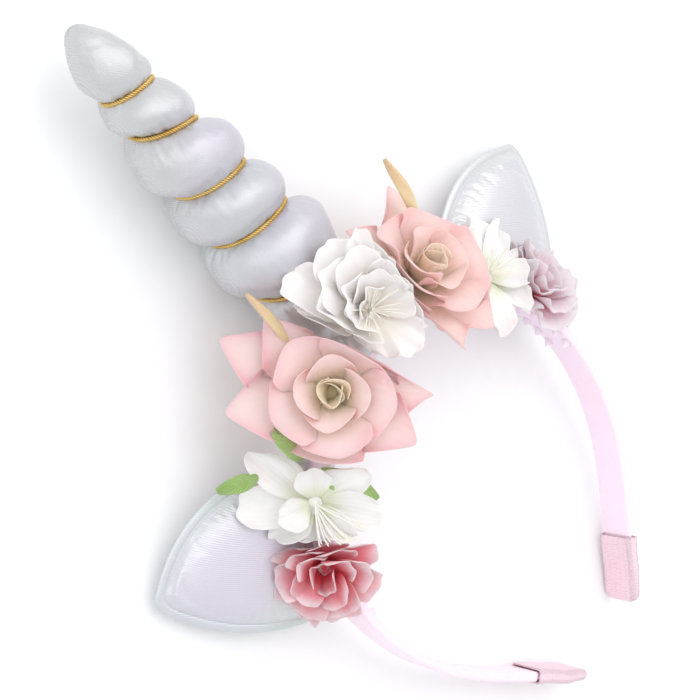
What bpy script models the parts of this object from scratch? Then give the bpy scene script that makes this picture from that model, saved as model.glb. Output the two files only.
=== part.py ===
"""Unicorn horn headband, at rest on its back with the horn lying along +Y and the flowers facing up.

A toothed plastic band carries a padded horn of silver cloth wound with a gold cord, two padded ears,
and a row of fabric flowers. All sizes below are in millimetres and are turned into metres when a
mesh is made. The pieces are modelled as the headband is worn: X to its right side, +Y to its back
and Z up, with the origin at the middle of the band's crown. One empty then lays it on its back.
"""

import math

import bmesh
import bpy
from mathutils import Matrix, Vector

MM = 0.001
GAP = 0.35

# Lying on its back, the band's plane rises by this angle from the tips to the horn.
LYING_TILT_DEG = 5.0

# Each half of the band is a chain of arcs from the crown to the tip: radius, length.
STRAIGHT = 1.0e6
BAND_ARCS = ((54.5, 87.0), (79.0, 43.4), (211.0, 21.3), (STRAIGHT, 22.0))
BAND_HALF_LENGTH = sum(length for radius, length in BAND_ARCS)
BAND_WIDTH = 12.0
BAND_THICK = 3.0
BAND_EDGE = 0.8
TONGUE_LENGTH = 20.0
TONGUE_WIDTH = 11.0
TONGUE_THICK = 2.2

# Moulded teeth in two rows on the inner face, from one ear to the other.
TOOTH_PITCH = 5.6
TOOTH_HEIGHT = 1.6
TOOTH_ROW = 4.0
TOOTH_PAIRS = 15

# Ribbon sleeves over the band's tips.
CAP_WALL = 1.0
CAP_GAP = 0.3
CAP_END = 1.6
CAP_EDGE = 0.9

# Horn: its centre line runs from the base to the tip.
HORN_HEIGHT = 123.2
HORN_BASE = Vector((2.2, 3.2, 0.0))
HORN_TIP = Vector((-1.1, 9.5, HORN_HEIGHT))
HORN_COLUMNS = 16
HORN_ROWS_PER_TURN = 6
HORN_TIP_LENGTH = 18.0
HORN_TIP_RADIUS = 9.0
HORN_SADDLE_GAP = 0.45
GROOVE_STARTS = -0.45
GROOVE_DEEP = -0.1
GROOVE_REACH = 8.0

# Radii along the horn: height above the crown, padding between the cord's turns, floor under the cord.
HORN_RADII = (
    (0.0, 12.2, 12.0),
    (12.0, 13.4, 12.6),
    (26.0, 15.0, 12.8),
    (42.0, 17.6, 13.2),
    (59.0, 15.2, 12.0),
    (77.0, 13.4, 10.2),
    (94.0, 10.4, 8.2),
    (106.0, 9.0, 6.9),
    (HORN_HEIGHT, 8.8, 6.2),
)

# The gold cord winds down the horn; its height after each half turn, from the left side of the tip.
CORD_RADIUS = 0.65
CORD_LIFT = 0.8
CORD_START_DEG = 156.7
CORD_HEIGHTS = (102.4, 99.2, 91.8, 83.0, 71.6, 65.2, 54.0, 49.0, 34.0, 26.0, 15.0, 8.0, 0.0)
CORD_FIRST = -0.1
CORD_LAST = 9.5
CORD_STEPS = 12

# Ears: the outline of the right one in its own plane, side and height, as three sides with a
# control point each, and the depth of the plane at the band and at the point.
EAR_BASE_RADIUS = 56.4
EAR_BASE_FROM_DEG = 35.0
EAR_BASE_TO_DEG = 83.0
EAR_LOW_CONTROL = (82.5, -38.5)
EAR_POINT_LOW = (91.3, -9.0)
EAR_POINT_HIGH = (88.6, -3.0)
EAR_HIGH_CONTROL = (62.2, 14.6)
EAR_BASE_DEPTH = 2.6
EAR_POINT_DEPTH = 13.5
EAR_SEAM_WIDTH = 2.6
EAR_SEAM_THICK = 1.2
EAR_PAD_THICK = 8.0

PETAL_THICK = 1.0
PETAL_STAGGER = 0.07
PETAL_SKEW = 1.5

# Flower heads of the left side: where the middle of the head is, the way it faces, the angle round
# the band where its stem is stuck on, and how far it reaches. The right side mirrors the places.
FLOWERS = {
    "rose": ((-25.0, -20.4, 11.5), (-0.38, -0.80, 0.46), 22.0, 25.0),
    "blossom": ((-46.0, -9.0, -13.0), (-0.45, -0.80, 0.35), 56.0, 17.0),
    "ruffled": ((-58.0, -9.0, -29.0), (-0.60, -0.75, 0.25), 72.0, 14.0),
}
PEONY_MIDDLE = (0.0, -23.0, 18.5)
PEONY_FACING = (-0.15, -0.93, 0.33)
PEONY_REACH = 20.0
STEM_DEPTH = -2.6
STEM_RADIUS = 2.6
STEM_FOOT = 1.4

# Petals, a row each: angle round the head, length, width, lean at the foot and at the tip measured
# from the head's axis, cupping across, how far the corners drop from the tip, foot height.
ROSE_LEFT_OUTER = (
    (91, 27, 20, 58, 92, 2.0, 0.42, -12.0),
    (1, 25, 20, 58, 90, 2.0, 0.42, -12.0),
    (-33, 29, 19, 62, 100, 2.0, 0.46, -12.5),
    (-71, 26, 19, 60, 96, 2.0, 0.46, -12.0),
    (-139, 25, 23, 60, 92, 2.0, 0.36, -12.5),
    (151, 29, 20, 60, 96, 2.0, 0.44, -12.0),
    (115, 33, 17, 68, 96, 2.0, 0.40, -13.0),
)
ROSE_RIGHT_OUTER = (
    (38, 30, 18, 60, 96, 2.0, 0.50, -12.0),
    (-19, 26, 19, 58, 92, 2.0, 0.46, -12.0),
    (-62, 24, 19, 58, 90, 2.0, 0.42, -12.0),
    (-96, 24, 20, 62, 96, 2.0, 0.46, -12.5),
    (-153, 31, 18, 62, 92, 2.0, 0.46, -12.0),
    (160, 25, 19, 58, 88, 2.0, 0.42, -12.0),
    (95, 25, 20, 60, 90, 2.0, 0.40, -12.5),
)
ROSE_MIDDLE = (
    (20, 18, 19, 42, 74, 4.0, 0.26, -9.5),
    (92, 18, 19, 42, 74, 4.0, 0.26, -9.5),
    (164, 18, 19, 42, 74, 4.0, 0.26, -9.5),
    (236, 18, 19, 42, 74, 4.0, 0.26, -9.5),
    (308, 18, 19, 42, 74, 4.0, 0.26, -9.5),
)
ROSE_INNER = (
    (50, 13, 15, 24, 46, 4.0, 0.22, -9.0),
    (170, 13, 15, 24, 46, 4.0, 0.22, -9.0),
    (290, 13, 15, 24, 46, 4.0, 0.22, -9.0),
)
PEONY_PETALS = (
    (122, 26, 17, 72, 84, 2.5, 0.24, -8.0),
    (152, 24, 16, 74, 88, 2.5, 0.24, -8.0),
    (84, 22, 17, 66, 82, 2.5, 0.24, -8.0),
    (46, 23, 16, 66, 84, 2.5, 0.24, -8.0),
    (2, 21, 15, 68, 88, 2.5, 0.24, -8.0),
    (-36, 19, 14, 68, 90, 2.5, 0.24, -8.0),
    (-83, 17, 13, 66, 86, 2.5, 0.24, -8.0),
    (-135, 16, 13, 66, 86, 2.5, 0.24, -8.0),
    (105, 17, 16, 44, 62, 3.0, 0.22, -7.0),
    (160, 15, 15, 44, 60, 3.0, 0.22, -7.0),
    (45, 16, 16, 44, 62, 3.0, 0.22, -7.0),
    (-20, 13, 13, 44, 62, 3.0, 0.22, -7.0),
    (80, 10, 12, 22, 36, 3.0, 0.22, -6.0),
)
BLOSSOM_LEFT_PETALS = (
    (98, 24, 13, 70, 92, 2.5, 0.22, -5.0),
    (142, 21, 14, 72, 92, 2.5, 0.22, -5.0),
    (188, 15, 12, 70, 98, 2.5, 0.22, -5.0),
    (236, 15, 13, 66, 90, 2.5, 0.22, -5.0),
    (312, 18, 14, 68, 90, 2.5, 0.22, -5.0),
    (4, 19, 14, 66, 84, 2.5, 0.22, -5.0),
    (55, 15, 12, 50, 66, 3.0, 0.22, -4.5),
)
BLOSSOM_RIGHT_PETALS = (
    (40, 18, 13, 66, 88, 2.5, 0.22, -5.0),
    (-2, 21, 14, 72, 94, 2.5, 0.22, -5.0),
    (-50, 17, 13, 68, 92, 2.5, 0.22, -5.0),
    (-108, 17, 13, 66, 92, 2.5, 0.22, -5.0),
    (-170, 26, 13, 72, 92, 2.5, 0.22, -5.0),
    (140, 17, 13, 66, 88, 2.5, 0.22, -5.0),
    (88, 16, 12, 56, 74, 3.0, 0.22, -4.5),
)
LEAVES = (
    (78, 27, 8, 92, 100, -1.0, 0.62, -7.0),
    (112, 30, 8, 92, 98, -1.0, 0.62, -7.0),
    (-46, 23, 8, 88, 96, -1.0, 0.62, -7.0),
)

COLOURS = {
    "band": ((0.93, 0.76, 0.86), 0.35, 0.0),
    "ribbon": ((0.95, 0.62, 0.70), 0.75, 0.0),
    "silver_cloth": ((0.82, 0.82, 0.85), 0.35, 0.4),
    "gold_cord": ((0.72, 0.50, 0.16), 0.35, 0.9),
    "rose_cloth": ((0.97, 0.70, 0.66), 0.8, 0.0),
    "white_cloth": ((0.94, 0.92, 0.90), 0.8, 0.0),
    "coral_cloth": ((0.92, 0.38, 0.42), 0.8, 0.0),
    "pale_pink_cloth": ((0.93, 0.80, 0.88), 0.8, 0.0),
    "green_cloth": ((0.42, 0.58, 0.22), 0.8, 0.0),
}


def clear_scene():
    for obj in list(bpy.data.objects):
        bpy.data.objects.remove(obj, do_unlink=True)


def material(name):
    """The Principled material of this colour, made once."""
    found = bpy.data.materials.get(name)
    if found:
        return found
    colour, roughness, metallic = COLOURS[name]
    made = bpy.data.materials.new(name)
    made.use_nodes = True
    shader = made.node_tree.nodes["Principled BSDF"]
    shader.inputs["Base Color"].default_value = (*colour, 1.0)
    shader.inputs["Roughness"].default_value = roughness
    shader.inputs["Metallic"].default_value = metallic
    return made


def mesh_object(name, points, faces, colour, smooth_deg=40.0):
    """An object of these points in millimetres, with its faces turned outwards."""
    bm = bmesh.new()
    verts = [bm.verts.new(Vector(p) * MM) for p in points]
    for face in faces:
        bm.faces.new([verts[i] for i in face])
    bmesh.ops.remove_doubles(bm, verts=bm.verts, dist=0.002 * MM)
    bmesh.ops.dissolve_degenerate(bm, edges=bm.edges, dist=0.002 * MM)
    bmesh.ops.recalc_face_normals(bm, faces=bm.faces)
    mesh = bpy.data.meshes.new(name)
    bm.to_mesh(mesh)
    bm.free()
    mesh.materials.append(material(colour))
    mesh.shade_smooth()
    mesh.set_sharp_from_angle(angle=math.radians(smooth_deg))
    obj = bpy.data.objects.new(name, mesh)
    bpy.context.collection.objects.link(obj)
    return obj


def loft(rings, capped=True):
    """Points and faces of a skin over rings of equally many points."""
    count = len(rings[0])
    points = [p for ring in rings for p in ring]
    faces = []
    for i in range(len(rings) - 1):
        for j in range(count):
            k = (j + 1) % count
            faces.append((i * count + j, i * count + k, (i + 1) * count + k, (i + 1) * count + j))
    if capped:
        last = (len(rings) - 1) * count
        faces.append(tuple(range(count))[::-1])
        faces.append(tuple(range(last, last + count)))
    return points, faces


def between(table, at, column):
    """Reads a column of a table of rows sorted by their first value, straight between two rows."""
    if at <= table[0][0]:
        return table[0][column]
    for low, high in zip(table, table[1:]):
        if at <= high[0]:
            part = (at - low[0]) / (high[0] - low[0])
            return low[column] + part * (high[column] - low[column])
    return table[-1][column]


def band_place(along):
    """Middle of the band and its outward direction, this far from the crown to the right."""
    side, height, turn = 0.0, 0.0, 0.0
    left = abs(along)
    for radius, length in BAND_ARCS:
        run = min(left, length)
        bend = run / radius
        side += radius * (math.sin(turn + bend) - math.sin(turn))
        height += radius * (math.cos(turn + bend) - math.cos(turn))
        turn += bend
        left -= run
    side += left * math.cos(turn)
    height -= left * math.sin(turn)
    sign = math.copysign(1.0, along)
    return Vector((sign * side, 0, height)), Vector((sign * math.sin(turn), 0, math.cos(turn)))


def band_ring(along, width, thick, tooth):
    """Cross-section of the band: rounded outer edges, and two points of the inner face that a tooth lifts."""
    middle, outward = band_place(along)
    y, z, e = width / 2, thick / 2, BAND_EDGE
    section = (
        (-y, z - e), (e - y, z), (y - e, z), (y, z - e), (y, -z),
        (TOOTH_ROW, -z - tooth), (0, -z), (-TOOTH_ROW, -z - tooth), (-y, -z),
    )
    return [middle + outward * n + Vector((0, across, 0)) for across, n in section]


def build_band():
    stations = []
    toothed = TOOTH_PITCH * TOOTH_PAIRS
    steps = TOOTH_PAIRS * 2
    for i in range(-steps, steps + 1):
        stations.append((i * TOOTH_PITCH / 2, TOOTH_HEIGHT if i % 2 else 0.0))
    shoulder = BAND_HALF_LENGTH - TONGUE_LENGTH
    leg_steps = 6
    for i in range(1, leg_steps + 1):
        at = toothed + (shoulder - toothed) * i / leg_steps
        stations = [(-at, 0.0)] + stations + [(at, 0.0)]
    rings = [band_ring(at, BAND_WIDTH, BAND_THICK, tooth) for at, tooth in stations]
    for sign in (-1, 1):
        tongue = [
            band_ring(sign * (shoulder + 0.4), TONGUE_WIDTH, TONGUE_THICK, 0.0),
            band_ring(sign * BAND_HALF_LENGTH, TONGUE_WIDTH, TONGUE_THICK, 0.0),
        ]
        rings = rings + tongue if sign > 0 else tongue[::-1] + rings
    points, faces = loft(rings)
    return mesh_object("band", points, faces, "band")


def cap_ring(sign, along, width, thick, edge):
    middle, outward = band_place(sign * along)
    y, z, e = width / 2, thick / 2, edge
    section = ((-y, z - e), (e - y, z), (y - e, z), (y, z - e), (y, e - z), (y - e, -z), (e - y, -z), (-y, e - z))
    return [middle + outward * n + Vector((0, across, 0)) for across, n in section]


def build_end_cap(sign, name):
    """A sleeve with a blind pocket: down the pocket to its mouth, then along the outside to the end."""
    mouth = BAND_HALF_LENGTH - TONGUE_LENGTH + 0.4 + CAP_GAP
    pocket = (TONGUE_WIDTH + 2 * CAP_GAP, TONGUE_THICK + 2 * CAP_GAP)
    outside = (pocket[0] + 2 * CAP_WALL, pocket[1] + 2 * CAP_WALL)
    end = BAND_HALF_LENGTH + CAP_GAP
    rings = [
        cap_ring(sign, end, *pocket, CAP_GAP),
        cap_ring(sign, mouth, *pocket, CAP_GAP),
        cap_ring(sign, mouth, *outside, CAP_EDGE),
        cap_ring(sign, end, *outside, CAP_EDGE),
        cap_ring(sign, end + CAP_END / 2, outside[0] - 1.0, outside[1] - 0.6, CAP_EDGE),
        cap_ring(sign, end + CAP_END, outside[0] - 4.0, outside[1] - 2.4, CAP_EDGE / 2),
    ]
    points, faces = loft(rings)
    return mesh_object(name, points, faces, "ribbon")


def horn_middle(height):
    return HORN_BASE.lerp(HORN_TIP, height / HORN_HEIGHT)


def cord_height(half_turns):
    """Height of the cord's path, smooth through its heights at each half turn."""
    if half_turns < 0:
        return CORD_HEIGHTS[0] + (HORN_HEIGHT - CORD_HEIGHTS[0]) * min(1.0, -half_turns / 2)
    i = min(int(half_turns), len(CORD_HEIGHTS) - 2)
    t = min(1.0, half_turns - i)
    row = [CORD_HEIGHTS[max(0, min(len(CORD_HEIGHTS) - 1, i + k))] for k in (-1, 0, 1, 2)]
    rise, fall = (row[2] - row[0]) / 2, (row[3] - row[1]) / 2
    return (
        row[1] * (2 * t**3 - 3 * t**2 + 1) + rise * (t**3 - 2 * t**2 + t)
        + row[2] * (3 * t**2 - 2 * t**3) + fall * (t**3 - t**2)
    )


def groove_depth(turns):
    """How deep the cord pulls the cloth in at this turn: it starts on the back, near the tip."""
    share = (turns - GROOVE_STARTS) / (GROOVE_DEEP - GROOVE_STARTS)
    return max(0.0, min(1.0, share))


def horn_radius(height, above, below, depth_above, depth_below):
    """Radius between two passes of the cord, whose heights and groove depths are given."""
    floor = between(HORN_RADII, height, 2)
    full = between(HORN_RADII, height, 1)
    down = (HORN_HEIGHT - height) / HORN_TIP_LENGTH
    if down < 1:
        full = min(full, HORN_TIP_RADIUS * (1 - (1 - down) ** 2) ** 0.65)
    reach = max(0.5, min((above - below) / 2, GROOVE_REACH))
    pinch = 0.0
    for distance, depth in ((above - height, depth_above), (height - below, depth_below)):
        share = max(0.0, min(1.0, distance / reach))
        pinch = max(pinch, depth * (1 - math.sin(math.pi / 2 * share) ** 0.7))
    return full - max(0.0, full - floor) * pinch


def saddle(side):
    """Height just above the band's outer face, at this distance to the side."""
    radius = BAND_ARCS[0][0] + BAND_THICK / 2 + HORN_SADDLE_GAP
    return math.sqrt(radius**2 - side**2) - BAND_ARCS[0][0]


def horn_column(fraction):
    """Points down one side of the horn, this fraction of a turn from where the cord starts."""
    angle = math.radians(CORD_START_DEG + 360 * fraction)
    out = Vector((math.cos(angle), math.sin(angle), 0))
    column = []
    for i in range(-2 * HORN_ROWS_PER_TURN, 6 * HORN_ROWS_PER_TURN + 1):
        turns = i / HORN_ROWS_PER_TURN
        height = cord_height(2 * (turns + fraction))
        if turns + fraction <= -1:
            height = HORN_HEIGHT
        over = math.floor(turns + 1e-9) + fraction
        passes = [HORN_HEIGHT if at <= -1 else cord_height(2 * at) for at in (over, over + 1)]
        radius = horn_radius(height, *passes, groove_depth(over), groove_depth(over + 1))
        point = horn_middle(height) + out * radius
        if height <= saddle(point.x) + 0.5:
            point.z = saddle(point.x)
        column.append(point)
    return column


def build_horn():
    """A skin whose rows follow the cord, so the groove under it stays crisp."""
    columns = [horn_column(j / HORN_COLUMNS) for j in range(HORN_COLUMNS + 1)]
    tall = len(columns[0])
    points = [p for column in columns for p in column]
    faces = []
    for j in range(HORN_COLUMNS):
        for i in range(tall - 1):
            a, b = j * tall + i, (j + 1) * tall + i
            faces.append((a, a + 1, b + 1, b))
    ring = [len(points) - 1 - (HORN_COLUMNS - j) * tall for j in range(HORN_COLUMNS)]
    middle = Vector((HORN_BASE.x, HORN_BASE.y, saddle(HORN_BASE.x)))
    half = []
    for index in ring:
        point = (points[index] + middle) / 2
        point.z = saddle(point.x)
        half.append(len(points))
        points.append(point)
    points.append(middle)
    for j in range(HORN_COLUMNS):
        k = (j + 1) % HORN_COLUMNS
        faces.append((ring[j], half[j], half[k], ring[k]))
        faces.append((half[j], len(points) - 1, half[k]))
    return mesh_object("horn", points, faces, "silver_cloth", 60.0)


def build_horn_cord():
    """The cord as a bevelled curve in the groove of the horn."""
    curve = bpy.data.curves.new("horn_cord", "CURVE")
    curve.dimensions = "3D"
    curve.bevel_depth = CORD_RADIUS * MM
    curve.bevel_resolution = 1
    curve.use_fill_caps = True
    steps = int((CORD_LAST - CORD_FIRST) / 2 * CORD_STEPS)
    spline = curve.splines.new("POLY")
    spline.points.add(steps)
    for i in range(steps + 1):
        half_turns = CORD_FIRST + (CORD_LAST - CORD_FIRST) * i / steps
        height = cord_height(half_turns)
        if half_turns < 0:
            height = CORD_HEIGHTS[0] - 3.0 * half_turns
        angle = math.radians(CORD_START_DEG + 180 * half_turns)
        radius = between(HORN_RADII, height, 2) + CORD_RADIUS + CORD_LIFT
        if half_turns < 0:
            radius -= 1.2 * half_turns
        point = horn_middle(height) + Vector((math.cos(angle), math.sin(angle), 0)) * radius
        spline.points[i].co = (*(point * MM), 1.0)
    curve.materials.append(material("gold_cord"))
    obj = bpy.data.objects.new("horn_cord", curve)
    bpy.context.collection.objects.link(obj)
    return obj


def bend(start, control, end, steps):
    """Points of a curve from start towards end, without the end itself."""
    start, control, end = Vector(start), Vector(control), Vector(end)
    found = []
    for i in range(steps):
        t = i / steps
        found.append(start * (1 - t) ** 2 + control * 2 * t * (1 - t) + end * t * t)
    return found


def on_band_arc(radius, degrees):
    angle = math.radians(degrees)
    return radius * math.sin(angle), radius * math.cos(angle) - BAND_ARCS[0][0]


def ear_outline():
    """The right ear's edge in the plane of the band, side and height, once round."""
    high = on_band_arc(EAR_BASE_RADIUS, EAR_BASE_FROM_DEG)
    low = on_band_arc(EAR_BASE_RADIUS, EAR_BASE_TO_DEG)
    steps = 7
    base = []
    for i in range(steps):
        share = i / steps
        base.append(Vector(on_band_arc(EAR_BASE_RADIUS, EAR_BASE_FROM_DEG + (EAR_BASE_TO_DEG - EAR_BASE_FROM_DEG) * share)))
    corner = (EAR_POINT_LOW[0] + 0.6, EAR_POINT_HIGH[1] - 0.6)
    return (
        base
        + bend(low, EAR_LOW_CONTROL, EAR_POINT_LOW, 8)
        + bend(EAR_POINT_LOW, corner, EAR_POINT_HIGH, 3)
        + bend(EAR_POINT_HIGH, EAR_HIGH_CONTROL, high, 9)
    )


def ear_depth(side, height):
    """Depth of the ear's middle plane: it leans back from the band to the point."""
    reach = math.hypot(side, height + BAND_ARCS[0][0]) - EAR_BASE_RADIUS
    full = math.hypot(EAR_POINT_LOW[0], EAR_POINT_LOW[1] + BAND_ARCS[0][0]) - EAR_BASE_RADIUS
    return EAR_BASE_DEPTH + (EAR_POINT_DEPTH - EAR_BASE_DEPTH) * reach / full


def build_ear(sign, name):
    outline = ear_outline()
    middle = sum(outline, Vector((0, 0))) / len(outline)
    size = max((p - middle).length for p in outline)
    seam = EAR_SEAM_WIDTH / size
    rings = ((0.0, EAR_SEAM_THICK), (seam, EAR_SEAM_THICK), (0.22, 0.62 * EAR_PAD_THICK), (0.5, 0.92 * EAR_PAD_THICK))
    points, faces = [], []
    count = len(outline)
    for face_sign in (-1, 1):
        for inset, thick in rings:
            for p in outline:
                q = p.lerp(middle, inset)
                depth = ear_depth(q.x, q.y) + face_sign * thick / 2
                points.append(Vector((sign * q.x, depth, q.y)))
        points.append(Vector((sign * middle.x, ear_depth(*middle) + face_sign * EAR_PAD_THICK / 2, middle.y)))
    block = len(rings) * count + 1
    for side in range(2):
        start = side * block
        for r in range(len(rings) - 1):
            for j in range(count):
                k = (j + 1) % count
                a, b = start + r * count, start + (r + 1) * count
                faces.append((a + j, a + k, b + k, b + j))
        last = start + (len(rings) - 1) * count
        for j in range(count):
            faces.append((last + j, last + (j + 1) % count, start + block - 1))
    for j in range(count):
        k = (j + 1) % count
        faces.append((j, k, block + k, block + j))
    return mesh_object(name, points, faces, "silver_cloth", 50.0)


class Head:
    """A flower head's place: its own right, up and facing directions, and what it presses against."""

    def __init__(self, middle, facing, walls):
        self.middle = Vector(middle)
        self.axis = Vector(facing).normalized()
        self.up = (Vector((0, 0, 1)) - self.axis * self.axis.z).normalized()
        self.right = self.up.cross(self.axis)
        self.walls = walls

    def place(self, x, y, z):
        return self.middle + self.right * x + self.up * y + self.axis * z


def wall_between(middle, reach, other, other_reach):
    """The plane where two heads meet, as a point and the direction towards the other."""
    middle, other = Vector(middle), Vector(other)
    way = (other - middle).normalized()
    gap = (other - middle).length
    return middle + way * gap * reach / (reach + other_reach), way


def keep_clear(point, walls, margin):
    """Presses a point of a petal back from its neighbours, the horn, the ears and the band."""
    point = point.copy()
    for at, way in walls:
        past = (point - at).dot(way) + margin
        soft = 5.0
        if past > -soft:
            point -= way * (past + soft * math.exp(-(past + soft) / soft))
    height = max(0.0, min(HORN_HEIGHT, point.z))
    away = point - horn_middle(height)
    away.z = 0
    room = between(HORN_RADII, height, 1) + margin + GAP
    if point.z > -2 and away.length < room:
        point += away.normalized() * (room - away.length)
    from_centre = math.hypot(point.x, point.z + BAND_ARCS[0][0])
    if from_centre > EAR_BASE_RADIUS - 4 and abs(point.x) > 28:
        front = ear_depth(abs(point.x), point.z) - EAR_PAD_THICK / 2 - margin - GAP
        if point.y > front:
            point.y = front
    level = from_centre - BAND_ARCS[0][0]
    deep = BAND_THICK / 2 + margin + GAP + 0.8
    wide = BAND_WIDTH / 2 + margin + GAP + 0.8
    if abs(level) < deep and abs(point.y) < wide:
        if deep - level < wide + point.y:
            outward = Vector((point.x, 0, point.z + BAND_ARCS[0][0])).normalized()
            point += outward * (deep - level)
        else:
            point.y = -wide
    return point


def petal(head, row, order, foot_radius=2.0, steps=3, across=3):
    """A thin cupped solid from the head's middle to its tip. Later petals of a head lie a little further
    from what they press against, so that no two lie in one plane."""
    angle, length, width, lean_foot, lean_tip, cup, drop, foot = row
    turn = math.radians(angle)
    radial = head.right * math.cos(turn) + head.up * math.sin(turn)
    sideways = head.up * math.cos(turn) - head.right * math.sin(turn)
    fine = 12
    at = head.middle + radial * foot_radius + head.axis * foot
    spine = [(at.copy(), math.radians(lean_foot))]
    for i in range(steps * fine):
        lean = math.radians(lean_foot + (lean_tip - lean_foot) * ((i + 0.5) / (steps * fine)) ** 1.4)
        at = at + (radial * math.sin(lean) + head.axis * math.cos(lean)) * (length / (steps * fine))
        if (i + 1) % fine == 0:
            spine.append((at.copy(), lean))
    sheet = []
    for i, (middle, lean) in enumerate(spine):
        t = i / steps
        along = radial * math.sin(lean) + head.axis * math.cos(lean)
        inward = head.axis * math.sin(lean) - radial * math.cos(lean)
        half = width / 2 * (0.35 + 0.65 * math.sin(math.pi / 2 * min(1.0, t / 0.6)))
        line = []
        for j in range(across + 1):
            s = 2 * j / across - 1
            point = middle + sideways * half * s + inward * cup * s * s * t
            point -= along * drop * length * abs(s) ** 1.6 * t * t
            point += inward * PETAL_SKEW * s * min(1.0, 2.0 * t)
            line.append(keep_clear(point, head.walls, PETAL_THICK / 2 + 0.15 + PETAL_STAGGER * order))
        sheet.append(line)
    return thicken(sheet, PETAL_THICK)


def thicken(sheet, thick):
    """Points and faces of a closed wall round a grid of points."""
    tall, wide = len(sheet), len(sheet[0])
    front, back = [], []
    for i in range(tall):
        for j in range(wide):
            down = sheet[min(i + 1, tall - 1)][j] - sheet[max(i - 1, 0)][j]
            over = sheet[i][min(j + 1, wide - 1)] - sheet[i][max(j - 1, 0)]
            normal = down.cross(over)
            if normal.length < 1e-6:
                normal = Vector((0, -1, 0))
            normal.normalize()
            front.append(sheet[i][j] + normal * thick / 2)
            back.append(sheet[i][j] - normal * thick / 2)
    count = tall * wide
    faces = []
    for i in range(tall - 1):
        for j in range(wide - 1):
            a = i * wide + j
            faces.append((a, a + 1, a + wide + 1, a + wide))
            faces.append((count + a, count + a + wide, count + a + wide + 1, count + a + 1))
    rim = [j for j in range(wide)]
    rim += [i * wide + wide - 1 for i in range(1, tall)]
    rim += [(tall - 1) * wide + j for j in range(wide - 2, -1, -1)]
    rim += [i * wide for i in range(tall - 2, 0, -1)]
    for a, b in zip(rim, rim[1:] + rim[:1]):
        faces.append((a, count + a, count + b, b))
    return front + back, faces


def turned(start, end, radii, sides=10):
    """A turned solid from start to end: radii at equal steps, closed at both ends."""
    way = (end - start).normalized()
    first = way.orthogonal().normalized()
    second = way.cross(first)
    rings = []
    for i, radius in enumerate(radii):
        at = start.lerp(end, i / (len(radii) - 1))
        ring = []
        for k in range(sides):
            angle = 2 * math.pi * k / sides
            ring.append(at + (first * math.cos(angle) + second * math.sin(angle)) * radius)
        rings.append(ring)
    return loft(rings)


def fuse(name, solids, colour):
    """One body from overlapping closed solids, with any closed inner hollow filled."""
    made = [mesh_object(f"{name}_{i}", points, faces, colour) for i, (points, faces) in enumerate(solids)]
    for obj in made:
        flat_facets(obj.data)
    body = made[0]
    for other in made[1:]:
        join = body.modifiers.new("join", "BOOLEAN")
        join.operation = "UNION"
        join.solver = "EXACT"
        join.use_self = True
        join.object = other
        graph = bpy.context.evaluated_depsgraph_get()
        mesh = bpy.data.meshes.new_from_object(body.evaluated_get(graph))
        body.modifiers.clear()
        body.data = mesh
        flat_facets(mesh)
        bpy.data.objects.remove(other)
    bm = bmesh.new()
    bm.from_mesh(body.data)
    keep_outer_shell(bm)
    bmesh.ops.dissolve_limit(bm, angle_limit=math.radians(9), verts=bm.verts, edges=bm.edges)
    bmesh.ops.triangulate(bm, faces=bm.faces)
    bm.to_mesh(body.data)
    bm.free()
    body.name = name
    body.data.name = name
    return body


def flat_facets(mesh):
    """Splits every face into triangles, which a union cuts exactly."""
    bm = bmesh.new()
    bm.from_mesh(mesh)
    bmesh.ops.triangulate(bm, faces=bm.faces)
    bm.to_mesh(mesh)
    bm.free()


def keep_outer_shell(bm):
    """Deletes every loose shell but the largest, which are the walls of closed inner hollows."""
    unseen = set(bm.verts)
    shells = []
    while unseen:
        start = unseen.pop()
        shell, edge = {start}, [start]
        while edge:
            vert = edge.pop()
            for link in vert.link_edges:
                other = link.other_vert(vert)
                if other in unseen:
                    unseen.discard(other)
                    shell.add(other)
                    edge.append(other)
        shells.append(shell)
    shells.sort(key=len)
    for shell in shells[:-1]:
        bmesh.ops.delete(bm, geom=list(shell), context="VERTS")


def mirrored(vector, sign):
    """A left-hand place or direction, or its mirror image for the right-hand side."""
    return Vector((vector[0] * -sign, vector[1], vector[2]))


def stem(head, base_depth, sign, degrees, top_radius):
    """The stalk from a flat foot just above the band's outer face to the back of the head."""
    side, height = on_band_arc(BAND_ARCS[0][0] + BAND_THICK / 2 + GAP, degrees)
    foot = Vector((sign * side, STEM_DEPTH, height))
    outward = Vector((sign * side, 0, height + BAND_ARCS[0][0])).normalized()
    top = head.place(0, 0, base_depth)
    path = (
        (foot, outward, STEM_RADIUS),
        (foot + outward * STEM_FOOT, outward, STEM_RADIUS),
        (top, head.axis, top_radius),
    )
    rings = []
    for at, way, radius in path:
        first = (Vector((0, 1, 0)) - way * way.y).normalized()
        second = way.cross(first)
        turns = [2 * math.pi * k / 6 for k in range(6)]
        rings.append([at + (first * math.cos(t) + second * math.sin(t)) * radius for t in turns])
    return loft(rings)


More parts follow.
